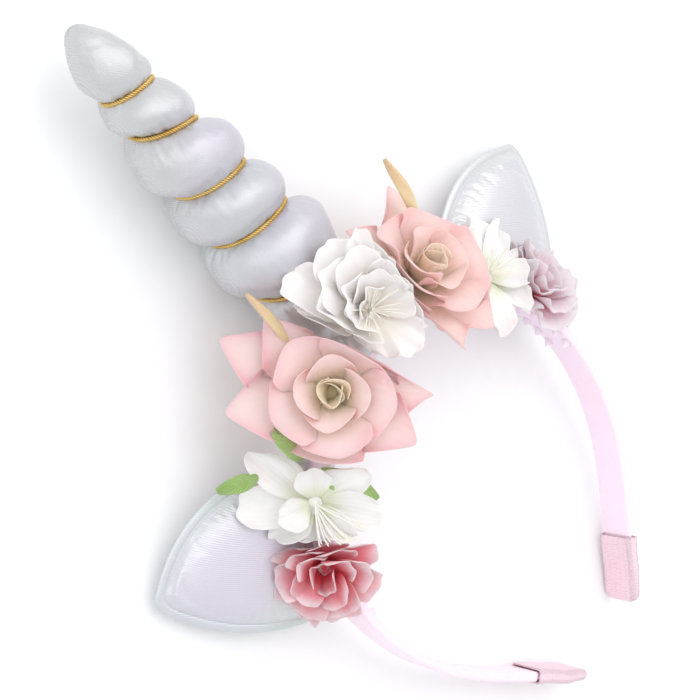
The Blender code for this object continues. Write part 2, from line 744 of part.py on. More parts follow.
def build_flowers():
    made = []
    peony_middle = Vector(PEONY_MIDDLE)
    for sign, side in ((-1, "left"), (1, "right")):
        heads = {}
        places = {kind: mirrored(row[0], sign) for kind, row in FLOWERS.items()}
        reaches = {kind: row[3] for kind, row in FLOWERS.items()}
        row_along = ["rose", "blossom", "ruffled"]
        for kind in row_along:
            walls = []
            for near, far in zip(row_along, row_along[1:]):
                if kind == near:
                    walls.append(wall_between(places[near], reaches[near], places[far], reaches[far]))
                if kind == far:
                    walls.append(wall_between(places[far], reaches[far], places[near], reaches[near]))
            if kind == "rose":
                walls.append(wall_between(places["rose"], reaches["rose"], peony_middle, PEONY_REACH))
            heads[kind] = Head(places[kind], mirrored(FLOWERS[kind][1], sign), walls)
        rose = heads["rose"]
        outer = ROSE_LEFT_OUTER if sign < 0 else ROSE_RIGHT_OUTER
        solids = [turned(rose.place(0, 0, -14), rose.place(0, 0, -1.5), (3.5, 5.2, 4.8, 2.6), 8)]
        solids.append(stem(rose, -12, sign, FLOWERS["rose"][2], 3.0))
        solids += [petal(rose, row, order, 3.0) for order, row in enumerate(outer)]
        solids += [petal(rose, row, order + 7, 3.0, 2, 3) for order, row in enumerate(ROSE_MIDDLE + ROSE_INNER)]
        made.append(fuse(f"rose_{side}", solids, "rose_cloth"))
        blossom = heads["blossom"]
        rows = BLOSSOM_LEFT_PETALS if sign < 0 else BLOSSOM_RIGHT_PETALS
        solids = [turned(blossom.place(0, 0, -4.5), blossom.place(0, 0, -1), (2.0, 3.0, 3.0, 2.0), 7)]
        solids.append(stem(blossom, -4, sign, FLOWERS["blossom"][2], 1.8))
        solids += [petal(blossom, row, order, 1.5) for order, row in enumerate(rows)]
        made.append(fuse(f"blossom_{side}", solids, "white_cloth"))
        ruffled = heads["ruffled"]
        solids = [turned(ruffled.place(0, 0, -6.5), ruffled.place(0, 0, -2), (2.0, 3.6, 3.8, 2.4), 7)]
        solids.append(stem(ruffled, -6, sign, FLOWERS["ruffled"][2], 1.8))
        for layer, (count, length, width, foot_lean, tip_lean, foot) in enumerate(RUFFLED_LAYERS):
            for i in range(count):
                row = (360 * (i + layer / 2) / count, length, width, foot_lean, tip_lean, 2.0, 0.2, foot)
                solids.append(petal(ruffled, row, len(solids), 2.0, 3, 2))
        colour = "coral_cloth" if sign < 0 else "pale_pink_cloth"
        made.append(fuse(f"ruffled_flower_{side}", solids, colour))
    return made


# Ruffled flowers: petals in a layer, their length, width, lean at the foot and the tip, foot height.
RUFFLED_LAYERS = ((7, 15, 12, 74, 92, -7.0), (5, 12, 9, 44, 64, -6.5), (2, 9, 7, 18, 32, -6.0))


def build_peony():
    middle = Vector(PEONY_MIDDLE)
    walls = []
    for sign in (-1, 1):
        rose = mirrored(FLOWERS["rose"][0], sign)
        walls.append(wall_between(middle, PEONY_REACH, rose, FLOWERS["rose"][3]))
    head = Head(middle, PEONY_FACING, walls)
    foot_height = 12.0
    centre = horn_middle(foot_height)
    front = between(HORN_RADII, foot_height, 1) + GAP + 1.2
    foot = Vector((centre.x, centre.y - front, foot_height))
    solids = [turned(head.place(0, 0, -9), head.place(0, 0, -2), (2.5, 4.6, 4.4, 3.0), 8)]
    solids.append(turned(foot, head.place(0, 0, -7), (2.0, 3.0, 3.2), 6))
    solids += [petal(head, row, order) for order, row in enumerate(PEONY_PETALS)]
    return fuse("peony", solids, "white_cloth")


def lay_down(objects):
    """Lays the headband on its back, with the middle of its base at the origin."""
    empty = bpy.data.objects.new("headband", None)
    bpy.context.collection.objects.link(empty)
    for obj in objects:
        obj.parent = empty
    empty.rotation_euler.x = math.radians(LYING_TILT_DEG - 90)
    bpy.context.view_layer.update()
    graph = bpy.context.evaluated_depsgraph_get()
    corners = []
    for obj in objects:
        mesh = obj.evaluated_get(graph).to_mesh()
        corners += [obj.matrix_world @ v.co for v in mesh.vertices]
        obj.evaluated_get(graph).to_mesh_clear()
    low = Vector(min(c[i] for c in corners) for i in range(3))
    high = Vector(max(c[i] for c in corners) for i in range(3))
    empty.location = (-(low.x + high.x) / 2, -(low.y + high.y) / 2, -low.z)


def main():
    clear_scene()
    objects = [build_band(), build_horn(), build_horn_cord()]
    for sign, side in ((-1, "left"), (1, "right")):
        objects.append(build_end_cap(sign, f"end_cap_{side}"))
        objects.append(build_ear(sign, f"ear_{side}"))
    objects += build_flowers()
    objects.append(build_peony())
    lay_down(objects)


main()
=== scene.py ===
import math

import bmesh
import bpy
import numpy as np
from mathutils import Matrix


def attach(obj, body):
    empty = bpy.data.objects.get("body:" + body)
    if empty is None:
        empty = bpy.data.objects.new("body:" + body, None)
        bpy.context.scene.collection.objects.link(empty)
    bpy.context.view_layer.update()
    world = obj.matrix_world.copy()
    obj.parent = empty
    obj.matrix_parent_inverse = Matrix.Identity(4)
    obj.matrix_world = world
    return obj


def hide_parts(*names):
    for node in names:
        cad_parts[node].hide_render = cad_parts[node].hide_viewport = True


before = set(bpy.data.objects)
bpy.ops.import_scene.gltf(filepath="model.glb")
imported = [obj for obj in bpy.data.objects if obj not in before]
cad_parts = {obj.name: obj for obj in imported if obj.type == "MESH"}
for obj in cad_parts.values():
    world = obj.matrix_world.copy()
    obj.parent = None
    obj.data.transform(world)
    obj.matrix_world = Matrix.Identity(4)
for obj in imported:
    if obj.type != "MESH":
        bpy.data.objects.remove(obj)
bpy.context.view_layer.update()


# Camera. It looks down at the headband from the front of the horn's left side, through a short
# telephoto lens.
lens = bpy.data.cameras.new("camera")
lens.sensor_width = 36.0
lens.lens = 97.7
camera = bpy.data.objects.new("camera", lens)
bpy.context.scene.collection.objects.link(camera)
camera.location = (-0.20548, 0.21909, 0.47026)
camera.rotation_euler = [math.radians(a) for a in (0.674, -32.890, -47.379)]
bpy.context.scene.camera = camera


# Light. A white room with one broad soft box over the ears and a weaker one over the horn, as for a
# picture in a shop's catalogue. Whites are kept white.
bpy.context.scene.view_settings.view_transform = "Standard"
room = bpy.data.worlds.new("room")
bpy.context.scene.world = room
room.use_nodes = True
room.node_tree.nodes["Background"].inputs["Color"].default_value = (0.97, 0.98, 1.0, 1.0)
room.node_tree.nodes["Background"].inputs["Strength"].default_value = 0.98


def soft_box(name, place, watts, side):
    """A square lamp that faces the headband."""
    lamp = bpy.data.lights.new(name, "AREA")
    lamp.energy = watts
    lamp.size = side
    obj = bpy.data.objects.new(name, lamp)
    bpy.context.scene.collection.objects.link(obj)
    obj.location = place
    way = [a - b for a, b in zip((0.0, 0.0, 0.02), place)]
    flat = math.hypot(way[0], way[1])
    obj.rotation_euler = (math.atan2(flat, -way[2]), 0.0, math.atan2(-way[0], way[1]))


soft_box("soft_box_ears", (0.62, 0.35, 1.15), 6.0, 1.3)
soft_box("soft_box_horn", (-0.5, 0.75, 1.0), 2.2, 0.9)


# Floor. A plain pale sheet of paper that runs on past the picture's edges.
class Wire:
    """A socket of a node tree that takes part in sums as a number does."""

    def __init__(self, board, socket):
        self.board = board
        self.socket = socket

    def maths(self, operation, *others):
        return self.board.node("ShaderNodeMath", {"operation": operation}, *others)

    def __add__(self, other):
        return self.maths("ADD", self, other)

    def __sub__(self, other):
        return self.maths("SUBTRACT", self, other)

    def __mul__(self, other):
        return self.maths("MULTIPLY", self, other)

    def __rsub__(self, other):
        return self.maths("SUBTRACT", other, self)

    __radd__ = __add__
    __rmul__ = __mul__

    def sine(self):
        return self.maths("SINE", self)

    def size(self):
        return self.maths("ABSOLUTE", self)

    def ease(self, low, high):
        """0 below low, 1 above high, and a smooth step between them."""
        settings = {"interpolation_type": "SMOOTHSTEP"}
        sockets = {"Value": self, "From Min": low, "From Max": high}
        return self.board.node("ShaderNodeMapRange", settings, sockets)


class Board:
    """A node tree under construction."""

    def __init__(self, tree):
        self.tree = tree

    def node(self, kind, settings=None, *values, out=0):
        """Adds a node, with its settings first and then its sockets, by order or as a dict of names."""
        made = self.tree.nodes.new(kind)
        for key, value in (settings or {}).items():
            if key == "stops":
                ramp = made.color_ramp.elements
                while len(ramp) < len(value):
                    ramp.new(0.5)
                for stop, (at, colour) in zip(ramp, value):
                    stop.position = at
                    stop.color = (*colour, 1.0)
            else:
                setattr(made, key, value)
        if values and isinstance(values[0], dict):
            pairs = values[0].items()
        else:
            pairs = enumerate(values)
        for key, value in pairs:
            if isinstance(value, Wire):
                self.tree.links.new(value.socket, made.inputs[key])
            else:
                made.inputs[key].default_value = value
        return Wire(self, made.outputs[out])

    def place(self):
        return self.node("ShaderNodeTexCoord", out="Object")

    def noise(self, scale, detail=2.0, shift=None):
        """Cloudy spots, moved by a shift where two patterns mustn't match."""
        where = self.place()
        if shift:
            where = self.node("ShaderNodeVectorMath", {"operation": "ADD"}, where, shift)
        return self.node("ShaderNodeTexNoise", None, {"Vector": where, "Scale": scale, "Detail": detail})

    def threads(self, direction, scale, distortion):
        """Close bands in one direction, like the threads of a woven cloth."""
        sockets = {"Vector": self.place(), "Scale": scale, "Distortion": distortion, "Detail": 1.0}
        return self.node("ShaderNodeTexWave", {"bands_direction": direction}, sockets)

    def spread(self):
        """The two directions of the piece's own UV map."""
        flat = self.node("ShaderNodeUVMap", {"uv_map": "UVMap"})
        return [self.node("ShaderNodeSeparateXYZ", None, flat, out=k) for k in (0, 1)]

    def reads(self, attribute):
        return self.node("ShaderNodeAttribute", {"attribute_name": attribute}, out="Fac")

    def blend(self, share, first, second):
        """A colour between two others."""
        settings = {"data_type": "RGBA"}
        first, second = (c if isinstance(c, Wire) else (*c, 1.0) for c in (first, second))
        return self.node("ShaderNodeMix", settings, {0: share, 6: first, 7: second}, out=2)

    def relief(self, height, depth, strength=1.0):
        """A bump of this height, in metres, ready for a shader's Normal."""
        sockets = {"Strength": strength, "Distance": depth, "Height": height}
        return self.node("ShaderNodeBump", None, sockets)


def finish_of(name, **constants):
    """A new material, its board and a function that sets its shader's sockets."""
    made = bpy.data.materials.new(name)
    made.use_nodes = True
    board = Board(made.node_tree)
    shader = made.node_tree.nodes["Principled BSDF"]

    def set_sockets(**sockets):
        for key, value in sockets.items():
            socket = shader.inputs[key.replace("_", " ")]
            if isinstance(value, Wire):
                made.node_tree.links.new(value.socket, socket)
            else:
                socket.default_value = value

    set_sockets(**constants)
    return made, board, set_sockets


paper, board, shine = finish_of("paper", Roughness=0.9, Specular_IOR_Level=0.1)
grain = board.noise(220.0)
shine(Base_Color=board.blend(grain, (0.92, 0.92, 0.93), (0.95, 0.95, 0.95)))
FLOOR_REACH = 3.0
floor_mesh = bpy.data.meshes.new("floor")
corners = [(x, y, 0.0) for x, y in ((-1, -1), (1, -1), (1, 1), (-1, 1))]
floor_mesh.from_pydata([[c * FLOOR_REACH for c in corner] for corner in corners], [], [(0, 1, 2, 3)])
floor_mesh.materials.append(paper)
floor = bpy.data.objects.new("floor", floor_mesh)
bpy.context.scene.collection.objects.link(floor)


# Band. One strip of glossy pale pink plastic, bent to a head's shape, thicker in the middle than at
# its rounded edges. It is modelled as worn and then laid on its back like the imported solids.
LAID_TURN = math.radians(5.0 - 90.0)
LAID_SHIFT = np.array((0.0, 4.9159, 18.3173))
# Radius and length of each arc from the crown to a tip, of which the last is nearly straight.
BAND_ARCS = ((54.5, 87.0), (79.0, 43.4), (211.0, 21.3), (1.0e6, 22.0))
BAND_HALF = sum(length for radius, length in BAND_ARCS)
BAND_WIDTH = 12.0
BAND_THICK = 3.0
BAND_CORNER = 0.8
CORNER_STEPS = 4
BAND_STEP = 1.5
TONGUE_WIDTH = BAND_WIDTH - 1.0
TONGUE_THICK = BAND_THICK - 0.8
TONGUE_CORNER = 0.7
SLEEVE_LENGTH = 19.3


def laid(points):
    """Points as worn, in mm (to the right, to the back, up), where they lie, in metres."""
    side, back, up = np.moveaxis(np.asarray(points, float), -1, 0)
    turn, rise = math.cos(LAID_TURN), math.sin(LAID_TURN)
    flat = np.stack((side, back * turn - up * rise, back * rise + up * turn), axis=-1)
    return (flat + LAID_SHIFT) / 1000.0


def band_place(along):
    """The band's middle, as side and height, and its outward direction, this far from the crown."""
    side, height, turn, left = 0.0, 0.0, 0.0, abs(along)
    for radius, length in BAND_ARCS:
        run = min(left, length)
        side += radius * (math.sin(turn + run / radius) - math.sin(turn))
        height += radius * (math.cos(turn + run / radius) - math.cos(turn))
        turn += run / radius
        left -= run
    side += left * math.cos(turn)
    height -= left * math.sin(turn)
    sign = math.copysign(1.0, along)
    return sign * side, height, sign * math.sin(turn), math.cos(turn)


def rounded_outline(width, thick, radius):
    """Points round a flat bar's section: across and outward."""
    found = []
    for corner, (x, y) in enumerate(((1, 1), (-1, 1), (-1, -1), (1, -1))):
        for i in range(CORNER_STEPS + 1):
            angle = math.pi / 2 * (corner + i / CORNER_STEPS)
            across = x * (width / 2 - radius) + radius * math.cos(angle)
            outward = y * (thick / 2 - radius) + radius * math.sin(angle)
            found.append((across, outward))
    return found


def band_ring(along, section):
    side, height, out_side, out_up = band_place(along)
    return [(side + out_side * n, across, height + out_up * n) for across, n in section]


def grid(rows, columns, wrap=False, first=0):
    """Quads between rows of points, with a corner of the UV map for each of their corners."""
    across = columns if wrap else columns - 1
    faces, corners = [], []
    for i in range(rows - 1):
        for j in range(across):
            a, b = first + i * columns, first + (i + 1) * columns
            k = (j + 1) % columns
            faces.append((a + j, a + k, b + k, b + j))
            left, right = j / across, (j + 1) / across
            low, high = i / (rows - 1), (i + 1) / (rows - 1)
            corners += [(left, low), (right, low), (right, high), (left, high)]
    return faces, corners


def make_piece(name, points, faces, corners, finish, outwards=True, sharp=50.0):
    """An object of these points in metres. Faces after the last UV corner get a plain one."""
    mesh = bpy.data.meshes.new(name)
    mesh.from_pydata(np.asarray(points).tolist(), [], faces)
    layer = mesh.uv_layers.new(name="UVMap")
    flat = np.zeros((len(mesh.loops), 2), np.float32)
    flat[: len(corners)] = np.asarray(corners, np.float32)[: len(mesh.loops)]
    layer.data.foreach_set("uv", flat.ravel())
    mesh.materials.append(finish)
    mesh.shade_smooth()
    mesh.set_sharp_from_angle(angle=math.radians(sharp))
    if outwards:
        mesh.update()
        mesh.calc_loop_triangles()
        where = np.array([v.co for v in mesh.vertices])
        corner = where[np.array([t.vertices[:] for t in mesh.loop_triangles])]
        if np.einsum("ij,ij->i", corner[:, 0], np.cross(corner[:, 1], corner[:, 2])).sum() < 0:
            mesh.flip_normals()
    obj = bpy.data.objects.new(name, mesh)
    bpy.context.scene.collection.objects.link(obj)
    return obj


plastic, board, shine = finish_of(
    "pink_plastic",
    Subsurface_Weight=0.25,
    Subsurface_Radius=(0.006, 0.003, 0.004),
    Subsurface_Scale=1.0,
    Coat_Roughness=0.12,
    IOR=1.49,
)
cloud = board.noise(28.0)
speck = board.noise(900.0, 3.0)
across, along = board.spread()
drawn = (across * 260.0 + speck * 2.0).sine()
pink = board.blend(cloud.ease(0.35, 0.65), (0.985, 0.77, 0.865), (0.95, 0.79, 0.91))
shine(
    Base_Color=board.blend(speck * 0.12, pink, (1.0, 0.93, 0.96)),
    Roughness=0.26 + 0.14 * speck,
    Coat_Weight=0.5 - 0.2 * speck,
    Normal=board.relief(drawn * 0.15 + speck, 0.00005),
)
count = int(2 * (BAND_HALF - SLEEVE_LENGTH + 3.0) / BAND_STEP)
section = rounded_outline(BAND_WIDTH, BAND_THICK, BAND_CORNER)
reach = BAND_HALF - SLEEVE_LENGTH - 0.7
rings = [band_ring(-reach + 2 * reach * i / count, section) for i in range(count + 1)]
tongue = rounded_outline(TONGUE_WIDTH, TONGUE_THICK, TONGUE_CORNER)
rings = [band_ring(-reach - past, tongue) for past in (4.0, 0.3)] + rings
rings += [band_ring(reach + past, tongue) for past in (0.3, 4.0)]
faces, corners = grid(len(rings), len(section), wrap=True)
last = (len(rings) - 1) * len(section)
faces += [tuple(range(first, first + len(section))) for first in (0, last)]
band = make_piece("band_strip", laid(rings).reshape(-1, 3), faces, corners, plastic)
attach(band, "root")
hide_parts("band")


# Teeth. Two rows of small pointed teeth are moulded on the band's inner face, from behind one ear
# over the crown to behind the other, and hold the band in the hair.
TOOTH_PITCH = 5.6
TOOTH_REACH = 84.0
TOOTH_ROW = 4.0
TOOTH_SINK = 0.3
TOOTH_ROW_STEPS = 60


def geometry_board(name, sizes):
    """A Geometry Nodes tree with a geometry in and out and a named input for each size."""
    tree = bpy.data.node_groups.new(name, "GeometryNodeTree")
    tree.interface.new_socket("Geometry", in_out="INPUT", socket_type="NodeSocketGeometry")
    for label, value in sizes.items():
        kind = "NodeSocketVector" if isinstance(value, tuple) else "NodeSocketFloat"
        socket = tree.interface.new_socket(label, in_out="INPUT", socket_type=kind)
        socket.default_value = value
    tree.interface.new_socket("Geometry", in_out="OUTPUT", socket_type="NodeSocketGeometry")
    board = Board(tree)
    entry = tree.nodes.new("NodeGroupInput")
    wires = {socket.name: Wire(board, socket) for socket in entry.outputs if socket.name}
    return tree, board, wires


def end_tree(board, made, finish):
    """Ends a tree in real geometry with its material."""
    real = board.node("GeometryNodeRealizeInstances", None, made)
    coated = board.node("GeometryNodeSetMaterial", None, {"Geometry": real, "Material": finish})
    leave = board.tree.nodes.new("NodeGroupOutput")
    board.tree.links.new(coated.socket, leave.inputs[0])


def grown(name, source, tree):
    """The plain mesh that the tree makes from a curve, in place of it."""
    source_obj = bpy.data.objects.new(name + "_path", source)
    bpy.context.scene.collection.objects.link(source_obj)
    source_obj.modifiers.new(tree.name, "NODES").node_group = tree
    bpy.context.view_layer.update()
    graph = bpy.context.evaluated_depsgraph_get()
    mesh = bpy.data.meshes.new_from_object(source_obj.evaluated_get(graph))
    bpy.data.objects.remove(source_obj)
    mesh.name = name
    obj = bpy.data.objects.new(name, mesh)
    bpy.context.scene.collection.objects.link(obj)
    return obj


def line_curve(name, lines):
    """A curve of straight pieces through each list of points in metres."""
    curve = bpy.data.curves.new(name, "CURVE")
    curve.dimensions = "3D"
    for points in lines:
        spline = curve.splines.new("POLY")
        spline.points.add(len(points) - 1)
        flat = np.column_stack((points, np.ones(len(points))))
        spline.points.foreach_set("co", flat.ravel())
    return curve


width_way = laid((0.0, 1000.0, 0.0)) - laid((0.0, 0.0, 0.0))
tooth_sizes = {
    "Pitch": TOOTH_PITCH / 1000.0,
    "Tooth radius": 0.0021,
    "Point radius": 0.00025,
    "Tooth height": 0.0023,
    "Across the band": tuple(width_way),
}
tree, board, size = geometry_board("band_teeth", tooth_sizes)
spots = board.tree.nodes.new("GeometryNodeCurveToPoints")
spots.mode = "LENGTH"
board.tree.links.new(size["Geometry"].socket, spots.inputs["Curve"])
board.tree.links.new(size["Pitch"].socket, spots.inputs["Length"])
dots, tangent = Wire(board, spots.outputs["Points"]), Wire(board, spots.outputs["Tangent"])
cross = {"operation": "CROSS_PRODUCT"}
inward = board.node("ShaderNodeVectorMath", cross, size["Across the band"], tangent)
sockets = {"Vertices": 8, "Radius Top": size["Point radius"]}
sockets |= {"Radius Bottom": size["Tooth radius"], "Depth": size["Tooth height"]}
pointed = board.node("GeometryNodeMeshCone", None, sockets)
slim = board.node("GeometryNodeTransform", None, {"Geometry": pointed, "Scale": (1.0, 0.62, 1.0)})
upright = board.node("FunctionNodeAlignRotationToVector", {"axis": "Z"}, {"Vector": inward})
settings = {"axis": "X", "pivot_axis": "Z"}
sockets = {"Rotation": upright, "Vector": tangent}
lengthwise = board.node("FunctionNodeAlignRotationToVector", settings, sockets)
sockets = {"Points": dots, "Instance": slim, "Rotation": lengthwise}
toothed = board.node("GeometryNodeInstanceOnPoints", None, sockets)
end_tree(board, toothed, plastic)
rows = []
for across_band in (-TOOTH_ROW, TOOTH_ROW):
    spot = [(across_band, TOOTH_SINK - BAND_THICK / 2)]
    shares = [i / TOOTH_ROW_STEPS for i in range(2 * TOOTH_ROW_STEPS + 1)]
    rows.append(laid([band_ring(-TOOTH_REACH + TOOTH_REACH * share, spot)[0] for share in shares]))
teeth = grown("band_teeth", line_curve("tooth_rows", rows), tree)
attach(teeth, "root")


# Ribbon sleeves. Each tip of the band is covered by a short tube of pink ribbed ribbon, folded over
# the end and glued. The left one stands a little off the band where it was folded.
SLEEVE_WIDTH = 13.4
SLEEVE_THICK = 4.7
SLEEVE_OVERHANG = 1.8
SLEEVE_STEPS = 30
SLEEVE_MOUTH = (12.5, 3.7, 1.0)
SLEEVE_MOUTH_DEPTH = 5.0
FOLD_BULGE = 1.8
ribbon, board, shine = finish_of("pink_ribbon", Sheen_Weight=0.25, Sheen_Roughness=0.4)
across, along = board.spread()
rib = (along * (math.tau * 34)).sine()
thread = (across * (math.tau * 90)).sine()
patch = board.noise(60.0)
tint = patch.ease(0.3, 0.7) * 0.7 + rib * 0.08 + 0.1
shine(
    Base_Color=board.blend(tint, (1.0, 0.78, 0.85), (1.0, 0.71, 0.80)),
    Roughness=0.62 + 0.08 * rib,
    Normal=board.relief(rib + thread * 0.3, 0.00009),
)
for sign, side in ((-1, "left"), (1, "right")):
    mouth = rounded_outline(*SLEEVE_MOUTH)
    start = BAND_HALF - SLEEVE_LENGTH
    rings = [band_ring(sign * (start + depth), mouth) for depth in (SLEEVE_MOUTH_DEPTH, 0.0)]
    for i in range(SLEEVE_STEPS + 1):
        share = i / SLEEVE_STEPS
        along_band = start + (SLEEVE_LENGTH + SLEEVE_OVERHANG) * share
        close = max(0.0, (share - 0.84) / 0.16)
        shrink = math.sqrt(max(0.0, 1 - close**2))
        width = SLEEVE_WIDTH - 5.2 * (1 - shrink)
        thick = SLEEVE_THICK - 1.1 * share - 2.0 * (1 - shrink)
        section = np.array(rounded_outline(width, thick, min(1.4, thick / 2.2)))
        lift = math.exp(-(((share - 0.5) / 0.17) ** 2)) if sign < 0 else 0.0
        section[:, 0] += np.where(section[:, 0] < 0, -FOLD_BULGE * lift, 0.0)
        section[:, 1] += 0.12 * np.sin(9 * share + 0.5 * section[:, 0])
        rings.append(band_ring(sign * along_band, section))
    faces, corners = grid(len(rings), len(rings[0]), wrap=True)
    last = (len(rings) - 1) * len(rings[0])
    faces += [tuple(range(first, first + len(rings[0]))) for first in (0, last)]
    sleeve = make_piece(f"ribbon_sleeve_{side}", laid(rings).reshape(-1, 3), faces, corners, ribbon)
    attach(sleeve, "root")
    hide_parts(f"end_cap_{side}")


# Horn. A tapering bag of silvery ribbed cloth with a pearl sheen, stuffed with fibre and tied in by
# the cord, so that it bulges between the turns and gathers in small folds under them.
HORN_HEIGHT = 123.2
HORN_BASE = np.array((2.2, 3.2, 0.0))
HORN_TIP = np.array((-1.1, 9.5, HORN_HEIGHT))
# The cloth's radius where it is full and where the cord ties it in, at each of these heights.
HORN_HEIGHTS = (0.0, 12.0, 26.0, 42.0, 59.0, 77.0, 94.0, 106.0, HORN_HEIGHT)
HORN_FULL = (12.2, 13.4, 15.0, 17.6, 15.2, 13.9, 10.8, 9.0, 8.8)
HORN_TIED = (11.6, 11.4, 11.3, 11.0, 9.8, 8.1, 6.3, 5.5, 5.4)
# Height of the cord after each half turn down from the tip.
CORD_HEIGHTS = (102.4, 99.2, 91.8, 83.0, 71.6, 65.2, 54.0, 49.0, 34.0, 26.0, 15.0, 8.0, 0.0)
CORD_START_DEG = 156.7
TIP_LENGTH = 18.0
TIP_RADIUS = 9.0
HORN_COLUMNS = 132
HORN_ROWS = 18
MERGED_WITHIN = 0.000002
FLOOR_CLEARANCE = 0.00005
STUFFING_SCALE = 10.0
STUFFING_FRAMES = 20


def horn_middle(height):
    """The middle of the horn at this height, which leans a little."""
    share = np.asarray(height)[..., None] / HORN_HEIGHT
    return HORN_BASE + (HORN_TIP - HORN_BASE) * share


def round_way(angle):
    """The level direction at this angle round the horn."""
    return np.stack((np.cos(angle), np.sin(angle), 0 * angle), axis=-1)


def cord_height(half_turns):
    """Height of the cord after this many half turns from the tip, on one smooth line."""
    at = np.asarray(half_turns, float)
    i = np.clip(at.astype(int), 0, len(CORD_HEIGHTS) - 2)
    t = np.clip(at - i, 0.0, 1.0)
    row = [np.take(CORD_HEIGHTS, np.clip(i + k, 0, len(CORD_HEIGHTS) - 1)) for k in (-1, 0, 1, 2)]
    rise, fall = (row[2] - row[0]) / 2, (row[3] - row[1]) / 2
    path = row[1] * (2 * t**3 - 3 * t**2 + 1) + rise * (t**3 - 2 * t**2 + t)
    path += row[2] * (3 * t**2 - 2 * t**3) + fall * (t**3 - t**2)
    above = CORD_HEIGHTS[0] + (HORN_HEIGHT - CORD_HEIGHTS[0]) * np.minimum(1.0, -at / 2)
    return np.where(at < 0, above, path)


def gather(turns):
    """Small folds of cloth along the cord, from -1 to 1, in an order that never repeats."""
    turn = math.tau * turns
    mixed = np.sin(13.0 * turn + 2.1) + 0.8 * np.sin(21.3 * turn + 1.3) + 0.5 * np.sin(31.7 * turn)
    return mixed / 2.3


def horn_radius(height, over, angle):
    """Radius of the cloth at this height, between the cord's turns over and over + 1."""
    full = np.interp(height, HORN_HEIGHTS, HORN_FULL)
    tied = np.interp(height, HORN_HEIGHTS, HORN_TIED)
    down = (HORN_HEIGHT - height) / TIP_LENGTH
    cap = TIP_RADIUS * (1 - (1 - np.clip(down, 0.0, 1.0)) ** 2) ** 0.72
    full = np.where(down < 1, np.minimum(full, cap), full)
    above, below = cord_height(2 * over), cord_height(2 * over + 2)
    reach = np.clip((above - below) / 2, 0.5, 8.0)
    pinch, folds = 0.0, 0.0
    for gap, at, share in ((above - height, over, 1.0), (height - below, over + 1, 0.5)):
        depth = np.clip((at + 0.45) / 0.35, 0.0, 1.0)
        near = np.clip(gap / reach, 0.0, 1.0)
        pinch = np.maximum(pinch, depth * (1 - np.sin(math.pi / 2 * near) ** 0.62))
        busy = 0.55 + 0.45 * np.sin(math.tau * 1.7 * at + 1.9)
        fade = np.exp(-((np.clip(gap, 0, None) / 4.2) ** 2)) * np.clip(gap / 0.9, 0.0, 1.0)
        folds = folds + depth * share * fade * busy * gather(at)
    sag = 0.3 * np.sin(3 * angle + 0.21 * height) + 0.2 * np.sin(5 * angle - 0.34 * height)
    sag = sag * (1 - pinch) * np.clip(down, 0, 1)
    return full - np.clip(full - tied, 0, None) * pinch + 0.6 * folds + sag


def saddle(side):
    """Height of the cloth's foot, just above the band's outer face."""
    return np.sqrt((BAND_ARCS[0][0] + BAND_THICK / 2 + 0.35) ** 2 - side**2) - BAND_ARCS[0][0]


def welded_mesh(name, points, faces, finish):
    """A mesh with its doubled points merged and its normals outwards."""
    bm = bmesh.new()
    verts = [bm.verts.new(p) for p in points]
    for face in faces:
        bm.faces.new([verts[i] for i in face])
    bmesh.ops.remove_doubles(bm, verts=bm.verts, dist=MERGED_WITHIN)
    bmesh.ops.dissolve_degenerate(bm, edges=bm.edges, dist=MERGED_WITHIN)
    bmesh.ops.recalc_face_normals(bm, faces=bm.faces)
    mesh = bpy.data.meshes.new(name)
    bm.to_mesh(mesh)
    bm.free()
    mesh.materials.append(finish)
    mesh.shade_smooth()
    obj = bpy.data.objects.new(name, mesh)
    bpy.context.scene.collection.objects.link(obj)
    return obj


def places_of(mesh):
    """The points of a mesh as rows of an array."""
    flat = np.empty(len(mesh.vertices) * 3)
    mesh.vertices.foreach_get("co", flat)
    return flat.reshape(-1, 3)


def keys_of(points):
    """Each point as whole hundredths of a millimetre, to find it again in a welded mesh."""
    return [tuple(key) for key in np.round(points * 1e5).astype(int)]


def stuffed(obj, held, pressure, growth, furthest):
    """Fills the cloth with a simulation that holds some points still, and caps how far the rest move."""
    mesh = obj.data
    start = places_of(mesh)
    mesh.vertices.foreach_set("co", (start * STUFFING_SCALE).ravel())
    mesh.update()
    group = obj.vertex_groups.new(name="held")
    group.add(np.flatnonzero(held).tolist(), 1.0, "REPLACE")
    cloth = obj.modifiers.new("stuffing", "CLOTH")
    settings = cloth.settings
    settings.quality = 5
    settings.mass = 0.02
    settings.tension_stiffness = 12.0
    settings.compression_stiffness = 6.0
    settings.shear_stiffness = 4.0
    settings.bending_stiffness = 0.05
    settings.vertex_group_mass = "held"
    settings.shrink_min = -growth
    settings.use_pressure = True
    settings.uniform_pressure_force = pressure
    settings.effector_weights.gravity = 0.0
    cloth.collision_settings.use_collision = False
    cloth.point_cache.frame_start = 1
    cloth.point_cache.frame_end = STUFFING_FRAMES
    for step in range(1, STUFFING_FRAMES + 1):
        bpy.context.scene.frame_set(step)
    graph = bpy.context.evaluated_depsgraph_get()
    blown = places_of(obj.evaluated_get(graph).data) / STUFFING_SCALE
    obj.modifiers.clear()
    obj.vertex_groups.clear()
    move = blown - start
    length = np.linalg.norm(move, axis=1, keepdims=True)
    move *= furthest * np.tanh(length / furthest) / np.maximum(length, 1e-9)
    blown = start + np.nan_to_num(move)
    blown[:, 2] = np.maximum(blown[:, 2], FLOOR_CLEARANCE)
    mesh.vertices.foreach_set("co", blown.ravel())
    mesh.update()
    bpy.context.scene.frame_set(1)


def rounder(obj):
    """Rounds a piece off with one subdivision."""
    modifier = obj.modifiers.new("rounder", "SUBSURF")
    modifier.levels = modifier.render_levels = 1


